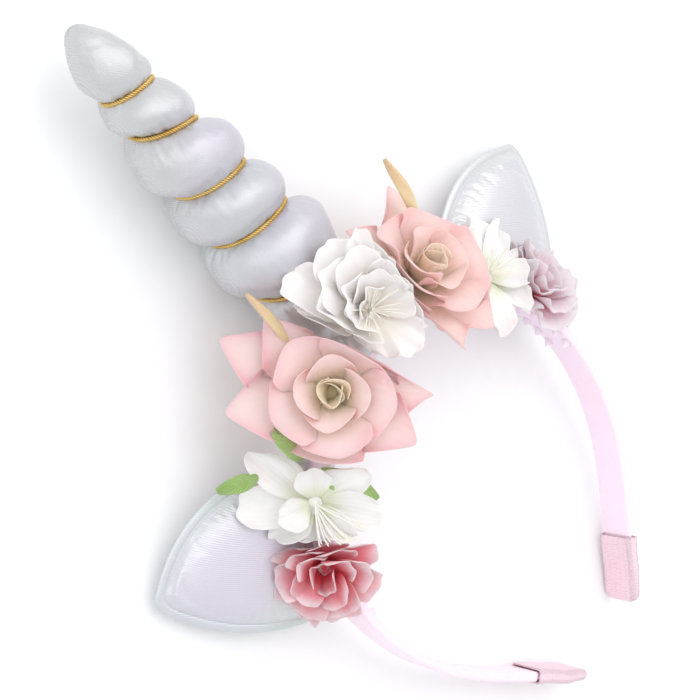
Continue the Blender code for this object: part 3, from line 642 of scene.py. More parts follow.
row = np.arange(-2 * HORN_ROWS, 6 * HORN_ROWS + 1)
fraction = (np.arange(HORN_COLUMNS + 1) / HORN_COLUMNS)[:, None]
turns = row / HORN_ROWS + fraction
height = np.where(turns <= -1, HORN_HEIGHT, cord_height(2 * turns))
angle = math.radians(CORD_START_DEG) + math.tau * (fraction + 0 * turns)
radius = horn_radius(height, np.floor(row / HORN_ROWS + 1e-9) + fraction, angle)
shell = horn_middle(height) + round_way(angle) * radius[..., None]
foot = saddle(shell[..., 0])
shell[..., 2] = np.where(shell[..., 2] <= foot + 0.4, foot, shell[..., 2])
tall = shell.shape[1]
faces, _ = grid(HORN_COLUMNS + 1, tall)
points = shell.reshape(-1, 3)
foot_ring = [j * tall + tall - 1 for j in range(HORN_COLUMNS)]
foot_edge = points[foot_ring]
for share in (0.7, 0.35, 0.0):
    inner = HORN_BASE + (foot_edge - HORN_BASE) * share
    inner[:, 2] = saddle(inner[:, 0])
    first = len(points)
    points = np.vstack((points, inner))
    for j in range(HORN_COLUMNS):
        k = (j + 1) % HORN_COLUMNS
        faces.append((foot_ring[j], first + j, first + k, foot_ring[k]))
    foot_ring = list(range(first, first + HORN_COLUMNS))
silver, board, shine = finish_of(
    "silver_cloth", Sheen_Weight=0.15, Sheen_Roughness=0.35, Sheen_Tint=(0.95, 0.93, 1.0, 1.0)
)
weft = board.threads("X", 760.0, 0.8)
warp = board.threads("DIAGONAL", 620.0, 0.6)
painted_glint = board.noise(2600.0, 1.0)
# Painted sheen: the lilac and teal patches stand in for the pearly, iridescent sheen of the cloth.
painted_lilac_patch = board.noise(17.0, 1.0)
painted_teal_patch = board.noise(23.0, 1.0, (3.1, 1.7, 0.4))
pearl = board.blend(painted_lilac_patch.ease(0.54, 0.76) * 0.55, (0.54, 0.542, 0.55), (0.55, 0.50, 0.61))
pearl = board.blend(painted_teal_patch.ease(0.6, 0.8) * 0.6, pearl, (0.52, 0.58, 0.57))
# The weft threads are a little lighter. The near-white specks are painted glints, and the same specks also
# vary the roughness and bump.
pearl = board.blend(weft * 0.14 + painted_glint.ease(0.55, 0.8) * 0.16, pearl, (0.9, 0.9, 0.92))
shine(
    Base_Color=pearl,
    Metallic=0.42 + 0.16 * weft,
    Roughness=0.36 - 0.1 * weft + 0.08 * painted_glint,
    Coat_Weight=0.12 + 0.1 * warp,
    Normal=board.relief(weft + warp * 0.5 + painted_glint * 0.5, 0.00003),
)
horn = welded_mesh("horn_cloth", laid(points), faces, silver)
tied_line = laid(shell[:, ::HORN_ROWS]).reshape(-1, 3)
foot_points = laid(points[len(shell) * tall :])
tied_keys = set(keys_of(tied_line) + keys_of(foot_points))
held = np.array([key in tied_keys for key in keys_of(places_of(horn.data))])
stuffed(horn, held, pressure=5.0, growth=0.04, furthest=0.0011)
rounder(horn)
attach(horn, "root")
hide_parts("horn")


# Gold cord. Three strands of metallic thread are laid into a thin cord, wound down the horn nearly
# five times and pulled tight, with both ends stitched under the cloth.
CORD_RADIUS = 0.65
CORD_FIRST = -0.1
CORD_LAST = 9.5
CORD_POINTS = 700
CORD_OVER_CLOTH = 0.75
STRAND_RADIUS = 0.36
STRANDS = 3
POINTS_AT_ONCE = 4000


def swept_thread(board, path, sides, radius):
    """A thin closed thread along a path."""
    ring = board.node("GeometryNodeCurvePrimitiveCircle", None, {"Resolution": sides, "Radius": radius})
    sockets = {"Curve": path, "Profile Curve": ring, "Fill Caps": True}
    return board.node("GeometryNodeCurveToMesh", None, sockets)


def point_values(mesh, name, values):
    """Keeps a number for each point of a mesh, which its finish reads."""
    layer = mesh.attributes.new(name, "FLOAT", "POINT")
    layer.data.foreach_set("value", values)


gold, board, shine = finish_of("gold_thread", Anisotropic=0.3)
around, along = board.spread()
thread = (along * 1500.0 + around * 18.0).sine()
tarnish = board.noise(160.0)
# Painted shade: the dark brown where the strands meet, close to the cord's middle, stands in for the shade
# in the gaps between them.
deep = board.reads("depth").ease(0.4, 0.95)
worn_gold = board.blend(tarnish.ease(0.35, 0.7), (0.80, 0.56, 0.19), (0.62, 0.37, 0.08))
shine(
    Base_Color=board.blend(deep, (0.16, 0.075, 0.03), worn_gold),
    Metallic=0.55 + 0.35 * deep,
    Roughness=0.36 + 0.12 * tarnish,
    Normal=board.relief(thread, 0.00004, 0.6),
)
cord_sizes = {"Strand radius": STRAND_RADIUS / 1000, "Lay radius": 0.00033, "Turns in a metre": 420.0}
tree, board, size = geometry_board("laid_cord", cord_sizes)
sockets = {"Curve": size["Geometry"], "Length": 0.00024}
resampled = board.node("GeometryNodeResampleCurve", {"mode": "LENGTH"}, sockets)
walked = board.node("GeometryNodeSplineParameter", out="Length")
whole_tangent = board.node("GeometryNodeInputTangent")
curve_normal = board.node("GeometryNodeInputNormal")
strands = board.tree.nodes.new("GeometryNodeJoinGeometry")
for strand in range(STRANDS):
    turned = walked * size["Turns in a metre"] * math.tau + strand * math.tau / STRANDS
    sockets = {"Vector": curve_normal, "Axis": whole_tangent, "Angle": turned}
    way = board.node("ShaderNodeVectorRotate", {"rotation_type": "AXIS_ANGLE"}, sockets)
    sockets = {"Vector": way, "Scale": size["Lay radius"]}
    push = board.node("ShaderNodeVectorMath", {"operation": "SCALE"}, sockets)
    moved = board.node("GeometryNodeSetPosition", None, {"Geometry": resampled, "Offset": push})
    board.tree.links.new(swept_thread(board, moved, 7, size["Strand radius"]).socket, strands.inputs[0])
end_tree(board, Wire(board, strands.outputs[0]), gold)
at = np.linspace(CORD_FIRST, CORD_LAST, CORD_POINTS)
height = np.where(at < 0, CORD_HEIGHTS[0] - 3.0 * at, cord_height(at))
angle = math.radians(CORD_START_DEG) + math.pi * at
radius = np.interp(height, HORN_HEIGHTS, HORN_TIED) + CORD_RADIUS + CORD_OVER_CLOTH
radius = radius - 0.5 * np.clip(-at / 0.1, 0, 1) - 1.2 * np.clip((at - 9.3) / 0.2, 0, 1)
cord_middle = laid(horn_middle(height) + round_way(angle) * radius[:, None])
cord = grown("gold_cord", line_curve("cord_line", [cord_middle]), tree)
where = places_of(cord.data)
nearest = np.empty(len(where))
for first in range(0, len(where), POINTS_AT_ONCE):
    some = slice(first, first + POINTS_AT_ONCE)
    nearest[some] = np.linalg.norm(where[some, None] - cord_middle[None], axis=2).min(axis=1)
point_values(cord.data, "depth", np.clip((nearest * 1000 - 0.30) / 0.40, 0, 1))
cord.data.shade_smooth()
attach(cord, "root")
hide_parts("horn_cord")


# Ears. Each is two leaves of the same silvery cloth, stuffed, sewn together along a flat seam near
# the edge, and glued by its hollow lower side along the band.
EAR_BASE_RADIUS = 56.4
EAR_BASE_DEGREES = (35.0, 83.0)
EAR_LOW_BEND = (82.5, -38.5)
EAR_POINT_LOW = (91.3, -9.0)
EAR_POINT_HIGH = (88.6, -3.0)
EAR_HIGH_BEND = (62.2, 14.6)
EAR_DEPTHS = (2.6, 13.5)
EAR_SEAM = 2.6
EAR_PAD_THICK = 8.0
EAR_EDGE_POINTS = 168
EAR_RINGS = 22
# A row for each ring of the seam border: how far in, in seam widths, and the half thickness.
EAR_BORDER = (
    (0.0, 0.25),
    (0.35, 0.62),
    (0.75, 0.62),
    (0.95, 0.42),
    (1.0, 0.40),
    (1.06, 0.62),
    (1.2, 1.0),
    (1.5, 1.5),
)


def on_band_arc(radius, degrees):
    """Side and height on a circle round the middle of the band's first arc."""
    angle = np.radians(degrees)
    return np.stack((radius * np.sin(angle), radius * np.cos(angle) - BAND_ARCS[0][0]), axis=-1)


def bend(start, control, end, steps=40):
    """Points along a smooth bend from start to end, drawn towards control."""
    t = (np.arange(steps) / steps)[:, None]
    start, control, end = (np.array(p) for p in (start, control, end))
    return start * (1 - t) ** 2 + control * 2 * t * (1 - t) + end * t * t


def ear_depth(side, height):
    """Depth of the ear's middle plane, which leans back from the band to the ear's point."""
    reach = np.hypot(side, height + BAND_ARCS[0][0]) - EAR_BASE_RADIUS
    full = math.hypot(EAR_POINT_LOW[0], EAR_POINT_LOW[1] + BAND_ARCS[0][0]) - EAR_BASE_RADIUS
    return EAR_DEPTHS[0] + (EAR_DEPTHS[1] - EAR_DEPTHS[0]) * reach / full


high = on_band_arc(EAR_BASE_RADIUS, EAR_BASE_DEGREES[0])
low = on_band_arc(EAR_BASE_RADIUS, EAR_BASE_DEGREES[1])
edge = np.vstack(
    (
        on_band_arc(EAR_BASE_RADIUS, np.linspace(*EAR_BASE_DEGREES, 60)[:-1]),
        bend(low, EAR_LOW_BEND, EAR_POINT_LOW),
        bend(EAR_POINT_LOW, (EAR_POINT_LOW[0] + 0.6, EAR_POINT_HIGH[1] - 0.6), EAR_POINT_HIGH, 12),
        bend(EAR_POINT_HIGH, EAR_HIGH_BEND, high),
    )
)
steps = np.linalg.norm(np.roll(edge, -1, axis=0) - edge, axis=1)
walked = np.concatenate(([0.0], np.cumsum(steps)))
at = np.arange(EAR_EDGE_POINTS) / EAR_EDGE_POINTS * walked[-1]
edge = np.stack([np.interp(at, walked, np.append(edge[:, k], edge[0, k])) for k in (0, 1)], axis=-1)
centre = edge.mean(axis=0)
nearest_edge = np.linalg.norm(edge - centre, axis=1)[:, None]
white_ear, board, shine = finish_of(
    "ear_cloth", Sheen_Weight=0.15, Sheen_Roughness=0.35, Sheen_Tint=(0.97, 0.95, 1.0, 1.0)
)
twill = board.threads("DIAGONAL", 700.0, 0.6)
painted_glint = board.noise(2600.0, 1.0)
seam_painted_tint = board.reads("seam")
left_ear_painted_tint = board.reads("left")
# Painted sheen: lilac patches stand in for the pearly, iridescent sheen. They are painted more strongly on
# the left ear than on the right, though both are the same cloth.
painted_lilac_tint = board.noise(20.0, 1.0, (0.71, 0.2, 0.4)).ease(0.5, 0.7) * (0.25 + 0.6 * left_ear_painted_tint)
pearl = board.blend(painted_lilac_tint, (0.66, 0.662, 0.668), (0.66, 0.60, 0.72))
# Painted shade and sheen: a darker teal tint along the seam border, stronger on the left ear.
pearl = board.blend(seam_painted_tint * (0.15 + 0.4 * left_ear_painted_tint), pearl, (0.52, 0.60, 0.59))
# The twill lines are a little lighter. The near-white specks are painted glints, and the same specks also
# vary the roughness and bump.
pearl = board.blend(twill * 0.14 + painted_glint.ease(0.55, 0.8) * 0.16, pearl, (0.93, 0.93, 0.95))
shine(
    Base_Color=pearl,
    Metallic=0.38 + 0.15 * twill,
    Roughness=0.38 - 0.1 * twill + 0.08 * painted_glint,
    Coat_Weight=0.10 + 0.1 * twill,
    Normal=board.relief(twill + painted_glint * 0.5, 0.00003),
)
border, count = len(EAR_BORDER), len(edge)
rings = border + EAR_RINGS - 1
last_inset, last_lift = EAR_BORDER[-1]
for sign, side in ((-1, "left"), (1, "right")):
    points, seam_shares, inside = [], [], []
    inner = np.linspace(0.0, 1.0, EAR_RINGS)[1:] ** 1.25
    for face in (-1, 1):
        for step in range(rings):
            if step < border:
                inset, lift = EAR_BORDER[step]
                share = np.minimum(EAR_SEAM * inset / nearest_edge, 0.9)
            else:
                way_in = inner[step - border]
                last_share = EAR_SEAM * last_inset / nearest_edge
                share = last_share + (1 - last_share) * way_in
                rise = 1 - (1 - way_in) ** 2.4
                lift = last_lift + (EAR_PAD_THICK / 2 - last_lift) * rise**0.62
                fade = math.exp(-way_in * 9.0)
                lift = lift + np.sin(at * 1.9 + 1.5 * np.sin(at * 0.31)) * 0.16 * fade
            flat = edge + (centre - edge) * share
            depth = ear_depth(flat[:, 0], flat[:, 1]) + face * lift
            points.append(np.stack((sign * flat[:, 0], depth, flat[:, 1]), axis=-1))
            seam_shares.append(np.full(count, max(0.0, 1 - step / (border + 6.0))))
            inside.append(np.full(count, step >= border - 1))
    cells, _ = grid(rings, count, wrap=True)
    other_face = rings * count
    faces = cells + [tuple(other_face + k for k in cell) for cell in cells]
    for j in range(count):
        k = (j + 1) % count
        faces.append((j, k, other_face + k, other_face + j))
    points = laid(np.array(points)).reshape(-1, 3)
    ear = welded_mesh(f"ear_cloth_{side}", points, faces, white_ear)
    keys = {key: i for i, key in enumerate(keys_of(points))}
    found = np.array([keys.get(key, 0) for key in keys_of(places_of(ear.data))])
    point_values(ear.data, "seam", np.concatenate(seam_shares)[found])
    point_values(ear.data, "left", np.full(len(found), 1.0 if sign < 0 else 0.0))
    stuffed(ear, ~np.concatenate(inside)[found], pressure=4.0, growth=0.03, furthest=0.0009)
    rounder(ear)
    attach(ear, "root")
    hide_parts(f"ear_{side}")


# Roses. Petals of thin dyed satin, cut to a point, with their side edges rolled back over a hot
# iron, glued in rings round a rolled heart. Each rose is glued to the band by a short stalk.
PETAL_THICK = 0.36
PETAL_GAP = 0.3
SPINE_STEPS = 6
STALK_SIDES = 12
GOLDEN_ANGLE = 2.399
# For each kind of head on the left: its middle, the way it faces, the place of its stalk on the band
# in degrees from the crown, and its reach.
HEADS = {
    "rose": ((-25.0, -20.4, 11.5), (-0.38, -0.80, 0.46), 22.0, 25.0),
    "blossom": ((-46.0, -9.0, -13.0), (-0.45, -0.80, 0.35), 56.0, 17.0),
    "ruffled": ((-58.0, -9.0, -29.0), (-0.60, -0.75, 0.25), 72.0, 14.0),
}
PEONY_MIDDLE = (0.0, -23.0, 18.5)
PEONY_FACING = (-0.15, -0.93, 0.33)
PEONY_REACH = 20.0
# A row for each petal: angle round the head, length, width, lean at the foot and at the tip from
# the head's axis, cupping, how far the corners drop, height of the foot.
ROSE_LEFT_OUTER = (
    (91, 27, 20, 58, 92, 2.0, 0.42, -12.0),
    (1, 25, 20, 58, 90, 2.0, 0.42, -12.0),
    (-33, 29, 19, 62, 100, 2.0, 0.46, -12.5),
    (-71, 26, 19, 60, 96, 2.0, 0.46, -12.0),
    (-139, 25, 23, 60, 92, 2.0, 0.36, -12.5),
    (151, 29, 20, 60, 96, 2.0, 0.44, -12.0),
    (115, 33, 17, 68, 96, 2.0, 0.40, -13.0),
)
ROSE_RIGHT_OUTER = (
    (38, 30, 18, 60, 96, 2.0, 0.50, -12.0),
    (-19, 26, 19, 58, 92, 2.0, 0.46, -12.0),
    (-62, 24, 19, 58, 90, 2.0, 0.42, -12.0),
    (-96, 24, 20, 62, 96, 2.0, 0.46, -12.5),
    (-153, 31, 18, 62, 92, 2.0, 0.46, -12.0),
    (160, 25, 19, 58, 88, 2.0, 0.42, -12.0),
    (95, 25, 20, 60, 90, 2.0, 0.40, -12.5),
)
ROSE_MIDDLE = tuple((angle, 18.5, 20, 40, 76, 4.5, 0.22, -9.5) for angle in (20, 92, 164, 236, 308))
ROSE_INNER = tuple((angle, 14, 16, 22, 52, 5.0, 0.20, -9.0) for angle in (50, 140, 222, 318))
ROSE_HEART = tuple(
    (angle, 11.5 - 0.4 * i, 11 - i, 8 - i, 30 - 5 * i, 4.0, 0.12, -8.5)
    for i, angle in enumerate((5, 125, 245, 320))
)


PLAIN_PETAL = {"neck": 0.35, "widest": 0.6, "taper": 0.0, "skew": 1.0, "point": 1.6, "hug": 0.0}
PLAIN_PETAL |= {"roll": 0.0, "crease": 0.0, "tip_curl": 0.0}
PLAIN_PETAL |= {"wave": 0.0, "waves": 5.0, "nick": 0.0, "nicks": 9.0}


def petal_style(rows, columns, **changes):
    """How one kind of petal is shaped, by what differs from the plain petal."""
    return {**PLAIN_PETAL, "rows": rows, "columns": columns, **changes}


def unit(vector):
    vector = np.asarray(vector, float)
    return vector / np.linalg.norm(vector)


class Head:
    """Where a flower head sits: its right, up and facing directions, and what it presses against."""

    def __init__(self, middle, facing, walls):
        self.middle = np.array(middle, float)
        self.axis = unit(facing)
        self.up = unit(np.array((0.0, 0.0, 1.0)) - self.axis * self.axis[2])
        self.right = np.cross(self.up, self.axis)
        self.walls = walls

    def place(self, x, y, z):
        return self.middle + self.right * x + self.up * y + self.axis * z


def wall_between(middle, reach, other, other_reach):
    """Where two flower heads press against each other: a point and the way to the other head."""
    middle, other = np.array(middle, float), np.array(other, float)
    gap = np.linalg.norm(other - middle)
    way = (other - middle) / gap
    return middle + way * gap * reach / (reach + other_reach), way


def keep_clear(points, walls, margin):
    """Presses petals back from their neighbours, the horn, the ears and the band."""
    points = np.array(points)
    for at, way in walls:
        past = (points - at) @ way + margin
        soft = 5.0
        over = past + soft * np.exp(-(past + soft) / soft)
        points -= np.where(past > -soft, over, 0.0)[..., None] * way
    up_horn = np.clip(points[..., 2], 0.0, HORN_HEIGHT)
    away = points - horn_middle(up_horn)
    away[..., 2] = 0.0
    length = np.linalg.norm(away, axis=-1)
    room = np.interp(up_horn, HORN_HEIGHTS, HORN_FULL) + margin + PETAL_GAP
    short = np.where(points[..., 2] > -2, np.clip(room - length, 0.0, None), 0.0)
    points += away / np.maximum(length, 1e-6)[..., None] * short[..., None]
    x, y, z = points[..., 0], points[..., 1], points[..., 2]
    from_centre = np.hypot(x, z + BAND_ARCS[0][0])
    front = ear_depth(np.abs(x), z) - EAR_PAD_THICK / 2 - margin - PETAL_GAP
    on_ear = (from_centre > EAR_BASE_RADIUS - 4) & (np.abs(x) > 28)
    y = np.where(on_ear, np.minimum(y, front), y)
    level = from_centre - BAND_ARCS[0][0]
    deep = BAND_THICK / 2 + margin + PETAL_GAP + 0.5
    wide = BAND_WIDTH / 2 + margin + PETAL_GAP + 0.5
    in_band = (np.abs(level) < deep) & (np.abs(y) < wide)
    lift = np.where(in_band & (deep - level < wide + y), (deep - level) / from_centre, 0.0)
    y = np.where(in_band & (deep - level >= wide + y), -wide, y)
    return np.stack((x * (1 + lift), y, z + (z + BAND_ARCS[0][0]) * lift), axis=-1)


def petal_sheet(head, row, order, foot_radius, style):
    """A cupped, rolled or waved sheet from the head's middle to its tip, as rows of points."""
    angle, length, width, lean_foot, lean_tip, cup, drop, foot = row
    turn = math.radians(angle)
    radial = head.right * math.cos(turn) + head.up * math.sin(turn)
    sideways = head.up * math.cos(turn) - head.right * math.sin(turn)
    rows, columns = style["rows"], style["columns"]
    steps = rows * SPINE_STEPS
    at = head.middle + radial * foot_radius + head.axis * foot
    spine, leans = [at], [math.radians(lean_foot)]
    for i in range(steps):
        lean = math.radians(lean_foot + (lean_tip - lean_foot) * ((i + 0.5) / steps) ** 1.4)
        at = at + (radial * math.sin(lean) + head.axis * math.cos(lean)) * (length / steps)
        if (i + 1) % SPINE_STEPS == 0:
            spine.append(at)
            leans.append(lean)
    lean = np.array(leans)[:, None, None]
    t = (np.arange(rows + 1) / rows)[:, None]
    s = (2 * np.arange(columns + 1) / columns - 1)[None, :]
    along = radial * np.sin(lean) + head.axis * np.cos(lean)
    inward = head.axis * np.sin(lean) - radial * np.cos(lean)
    opened = np.sin(math.pi / 2 * np.minimum(1.0, t / style["widest"]))
    half = width / 2 * (style["neck"] + (1 - style["neck"]) * opened)
    half = half * (1 - style["taper"] * np.clip((t - 0.6) / 0.4, 0, 1) ** 2)
    edge = np.abs(s)
    phase = order * GOLDEN_ANGLE + angle
    rise = cup * s * s * t + 1.5 * s * np.minimum(1.0, 2 * t) * style["skew"]
    rolled = style["roll"] * np.clip((edge - 0.5) / 0.5, 0, 1) ** 1.6
    rise = rise - rolled * np.sin(math.pi * np.clip(t, 0, 1) ** 0.8 * 0.9)
    rise = rise - style["crease"] * np.exp(-((s / 0.2) ** 2)) * np.sin(math.pi / 2 * t)
    rise = rise + style["wave"] * t**2 * np.sin(s * style["waves"] + phase)
    rise = rise + 0.22 * np.sin(5.3 * s + 1.7 * phase) * np.sin(6.1 * t + phase) * t
    curled = style["tip_curl"] * np.clip((t - 0.75) / 0.25, 0, 1) ** 2
    rise = rise - curled * (1 - 0.6 * edge)
    down = drop * length * edge ** style["point"] * t * t
    notches = 0.5 + 0.5 * np.sin(s * style["nicks"] + 1.3 * phase)
    down = down + style["nick"] * notches * t**3
    pull = 1 - style["hug"] * edge**2 * np.clip(t, 0, 1)
    sheet = np.array(spine)[:, None] + sideways * (half * s * pull)[..., None]
    sheet = sheet + inward * rise[..., None] - along * down[..., None]
    return keep_clear(sheet, head.walls, PETAL_THICK / 2 + 0.12 + 0.07 * order)


def petal_wall(sheet, first):
    """A sheet as a closed thin wall: its points, its faces and their corners of the UV map."""
    tall, wide = sheet.shape[:2]
    normal = np.cross(np.gradient(sheet, axis=0), np.gradient(sheet, axis=1))
    normal /= np.maximum(np.linalg.norm(normal, axis=-1, keepdims=True), 1e-9)
    skins = np.stack((sheet + normal * PETAL_THICK / 2, sheet - normal * PETAL_THICK / 2))
    cells, corners = grid(tall, wide, first=first)
    count = tall * wide
    faces = cells + [tuple(count + k for k in cell[::-1]) for cell in cells]
    for i in range(0, len(corners), 4):
        corners += corners[i : i + 4][::-1]
    rim = list(range(wide)) + [i * wide + wide - 1 for i in range(1, tall)]
    rim += [(tall - 1) * wide + j for j in range(wide - 2, -1, -1)]
    rim += [i * wide for i in range(tall - 2, 0, -1)]
    for a, b in zip(rim, rim[1:] + rim[:1]):
        faces.append((first + b, first + a, first + count + a, first + count + b))
        corners += [(k % wide / (wide - 1), k // wide / (tall - 1)) for k in (b, a, a, b)]
    return laid(skins).reshape(-1, 3), faces, corners


def closed_stalk(rings, first):
    """Rings as a closed solid: its points, its faces and their corners of the UV map."""
    tall, wide = rings.shape[:2]
    faces, corners = grid(tall, wide, wrap=True, first=first)
    faces.append(tuple(range(first + wide - 1, first - 1, -1)))
    faces.append(tuple(range(first + (tall - 1) * wide, first + tall * wide)))
    return laid(rings).reshape(-1, 3), faces, corners + [(0.5, 0.0)] * (2 * wide)


def flower(name, finish, node, stalks, petals, stalk_tone=0.0, petal_tones=None):
    """One mesh of turned stalks and closed thin petals, with a shade from 0 outside to 1 inside."""
    points, faces, corners, tones = [], [], [], []
    shapes = [(closed_stalk, rings, stalk_tone) for rings in stalks]
    petal_tones = petal_tones or [0.0] * len(petals)
    shapes += [(petal_wall, sheet, tone) for sheet, tone in zip(petals, petal_tones)]
    for closed, shape, tone in shapes:
        more_points, more_faces, more_corners = closed(shape, len(tones))
        points.append(more_points)
        faces += more_faces
        corners += more_corners
        tones += [tone] * len(more_points)
    made = make_piece(name, np.vstack(points), faces, corners, finish, outwards=False, sharp=180.0)
    bm = bmesh.new()
    bm.from_mesh(made.data)
    bmesh.ops.recalc_face_normals(bm, faces=bm.faces)
    bm.to_mesh(made.data)
    bm.free()
    point_values(made.data, "shade", tones)
    rounder(made)
    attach(made, "root")
    if node:
        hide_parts(node)


def turned_stalk(path, radii, ways=None):
    """Rings round the points of a path, as rows of points."""
    path = np.asarray(path, float)
    ways = np.gradient(path, axis=0) if ways is None else np.asarray(ways, float)
    rings = []
    for at, way, radius in zip(path, ways, radii):
        way = unit(way)
        one = unit(np.cross(way, (0.31, 0.17, 0.94)))
        other = np.cross(way, one)
        turn = (math.tau * np.arange(STALK_SIDES) / STALK_SIDES)[:, None]
        rings.append(at + (one * np.cos(turn) + other * np.sin(turn)) * radius)
    return np.array(rings)


def heart(head, depths, radii):
    """The turned heart that the petals are glued to, between these depths behind the head's middle."""
    return turned_stalk([head.place(0, 0, -depth) for depth in depths], radii)


def stalk_to_band(kind, sign, depth, top_radius):
    """A short stalk from the back of a flower's heart to the band."""
    head = heads[kind, sign]
    side, height = on_band_arc(BAND_ARCS[0][0] + BAND_THICK / 2 + 0.1, HEADS[kind][2])
    foot = np.array((sign * side, -2.6, height))
    outward = unit((sign * side, 0.0, height + BAND_ARCS[0][0]))
    top = head.place(0, 0, -depth)
    halfway = (foot + outward * 1.4) * 0.5 + top * 0.5
    path = [foot, foot + outward * 0.7, foot + outward * 1.6, halfway, top]
    ways = [outward, outward, outward, unit(top - foot), head.axis]
    return turned_stalk(path, (2.6, 2.6, 2.3, (2.0 + top_radius) / 2, top_radius), ways=ways)


def mirrored(vector, sign):
    """A place or direction on the left, on the side with this sign."""
    return np.array((vector[0] * -sign, vector[1], vector[2]))


heads = {}
kinds = list(HEADS)
for sign in (-1, 1):
    for k, kind in enumerate(kinds):
        middle, facing, _, reach = HEADS[kind]
        middle = mirrored(middle, sign)
        walls = []
        for other in (k - 1, k + 1):
            if 0 <= other < len(kinds):
                other_middle, _, _, other_reach = HEADS[kinds[other]]
                walls.append(wall_between(middle, reach, mirrored(other_middle, sign), other_reach))
        if kind == "rose":
            walls.append(wall_between(middle, reach, PEONY_MIDDLE, PEONY_REACH))
        heads[kind, sign] = Head(middle, mirrored(facing, sign), walls)

satin_outer = petal_style(11, 10, roll=3.4, point=1.15, tip_curl=1.6, wave=0.5, waves=3.0)
satin_middle = petal_style(9, 10, roll=2.6, point=1.5, tip_curl=1.6, wave=0.5, waves=4.0)
satin_inner = petal_style(8, 8, roll=1.2, point=1.8, tip_curl=1.0, wave=0.3, hug=0.15)
satin_heart = petal_style(7, 8, roll=0.3, point=2.2, tip_curl=0.4, wave=0.3, hug=0.3)


def cloth_grain(board):
    """Fine even weave of a petal's cloth, following the petal, and its height."""
    across, along = board.spread()
    return ((across * 420.0).sine() + (along * 560.0).sine()) * 0.5, across, along


def translucent(weight, *reach):
    """Sockets that let some light through a thin cloth, this far in metres for red, green and blue."""
    return {"Subsurface_Weight": weight, "Subsurface_Radius": reach, "Subsurface_Scale": 1.0}


for sign, side, edge_colour, middle_colour, foot_colour, heart_colour in (
    (-1, "left", (1.0, 0.44, 0.49), (1.0, 0.72, 0.67), (1.0, 0.87, 0.62), (1.0, 0.85, 0.52)),
    (1, "right", (1.0, 0.45, 0.46), (1.0, 0.66, 0.60), (1.0, 0.84, 0.62), (1.0, 0.76, 0.54)),
):
    thin = translucent(0.4, 0.005, 0.0025, 0.002)
    dyed, board, shine = finish_of(f"rose_satin_{side}", **thin, Sheen_Weight=0.25, Sheen_Roughness=0.5)
    grain, across, along = cloth_grain(board)
    shade = board.reads("shade")
    cloud = board.noise(70.0)
    from_middle = (across - 0.5).size() * 2.0
    dye = (along * 0.9 + from_middle * from_middle * along * 0.35 + (cloud - 0.5) * 0.3).ease(0.45, 1.2)
    colour = board.blend((along - shade * 0.2).ease(0.0, 0.55), foot_colour, middle_colour)
    colour = board.blend(dye * (1.0 - 0.6 * shade), colour, edge_colour)
    colour = board.blend(shade.ease(0.75, 1.0) * 0.75, colour, heart_colour)
    vein = (from_middle * 26.0 + along * 5.0).sine()
    shine(
        Base_Color=board.blend(grain * 0.04 + 0.04, colour, (1.0, 0.97, 0.95)),
        Roughness=0.58 + 0.06 * grain,
        Normal=board.relief(grain * 0.35 + vein * 0.4, 0.00008),
    )
    rose = heads["rose", sign]
    outer = ROSE_LEFT_OUTER if sign < 0 else ROSE_RIGHT_OUTER
    stalks = [heart(rose, (14, 12, 10, 8), (3.4, 5.0, 4.4, 2.0)), stalk_to_band("rose", sign, 12, 3.0)]
    petals, tones = [], []
    for rows, style, foot_radius, tone in (
        (outer, satin_outer, 3.0, 0.0),
        (ROSE_MIDDLE, satin_middle, 3.0, 0.3),
        (ROSE_INNER, satin_inner, 2.4, 0.8),
        (ROSE_HEART, satin_heart, 1.4, 1.0),
    ):
        for row in rows:
            petals.append(petal_sheet(rose, row, len(petals), foot_radius, style))
            tones.append(tone)
    flower(f"rose_petals_{side}", dyed, f"rose_{side}", stalks, petals, 0.6, tones)


# Blossoms. Small white flowers of long spoon-shaped petals with a pressed crease, creamy green at
# the foot, with a tuft of waxed thread stamens, wired to the band between the rose and the end.
BLOSSOM_LEFT_PETALS = (
    (98, 24, 13, 70, 92, 2.5, 0.22, -5.0),
    (142, 21, 14, 72, 92, 2.5, 0.22, -5.0),
    (188, 15, 12, 70, 98, 2.5, 0.22, -5.0),
    (236, 15, 13, 66, 90, 2.5, 0.22, -5.0),
    (312, 18, 14, 68, 90, 2.5, 0.22, -5.0),
    (4, 19, 14, 66, 84, 2.5, 0.22, -5.0),
    (55, 15, 12, 50, 66, 3.0, 0.22, -4.5),
    (275, 16, 11, 50, 84, 3.0, 0.22, -4.5),
    (160, 12, 10, 40, 66, 3.0, 0.22, -4.2),
)
BLOSSOM_RIGHT_PETALS = (
    (40, 18, 13, 66, 88, 2.5, 0.22, -5.0),
    (-2, 21, 14, 72, 94, 2.5, 0.22, -5.0),
    (-50, 17, 13, 68, 92, 2.5, 0.22, -5.0),
    (-108, 17, 13, 66, 92, 2.5, 0.22, -5.0),
    (-170, 26, 13, 72, 92, 2.5, 0.22, -5.0),
    (140, 17, 13, 66, 88, 2.5, 0.22, -5.0),
    (88, 16, 12, 56, 74, 3.0, 0.22, -4.5),
    (-80, 13, 11, 46, 72, 3.0, 0.22, -4.5),
)
spoon = petal_style(10, 12, neck=0.28, widest=0.72, taper=0.1, skew=0.8, point=2.6, hug=0.12)
spoon |= {"crease": 1.3, "tip_curl": -1.2, "wave": 0.9, "waves": 5.5}
white, board, shine = finish_of("white_petal_cloth", **translucent(0.15, 0.003, 0.003, 0.002))
grain, across, along = cloth_grain(board)
cloud = board.noise(90.0)
cream = board.blend(along.ease(0.08, 0.5), (0.90, 0.93, 0.70), (0.975, 0.965, 0.945))
cream = board.blend(cloud.ease(0.55, 0.75) * 0.35, cream, (0.985, 0.87, 0.82))
ray = ((across - 0.5) * 60.0).sine()
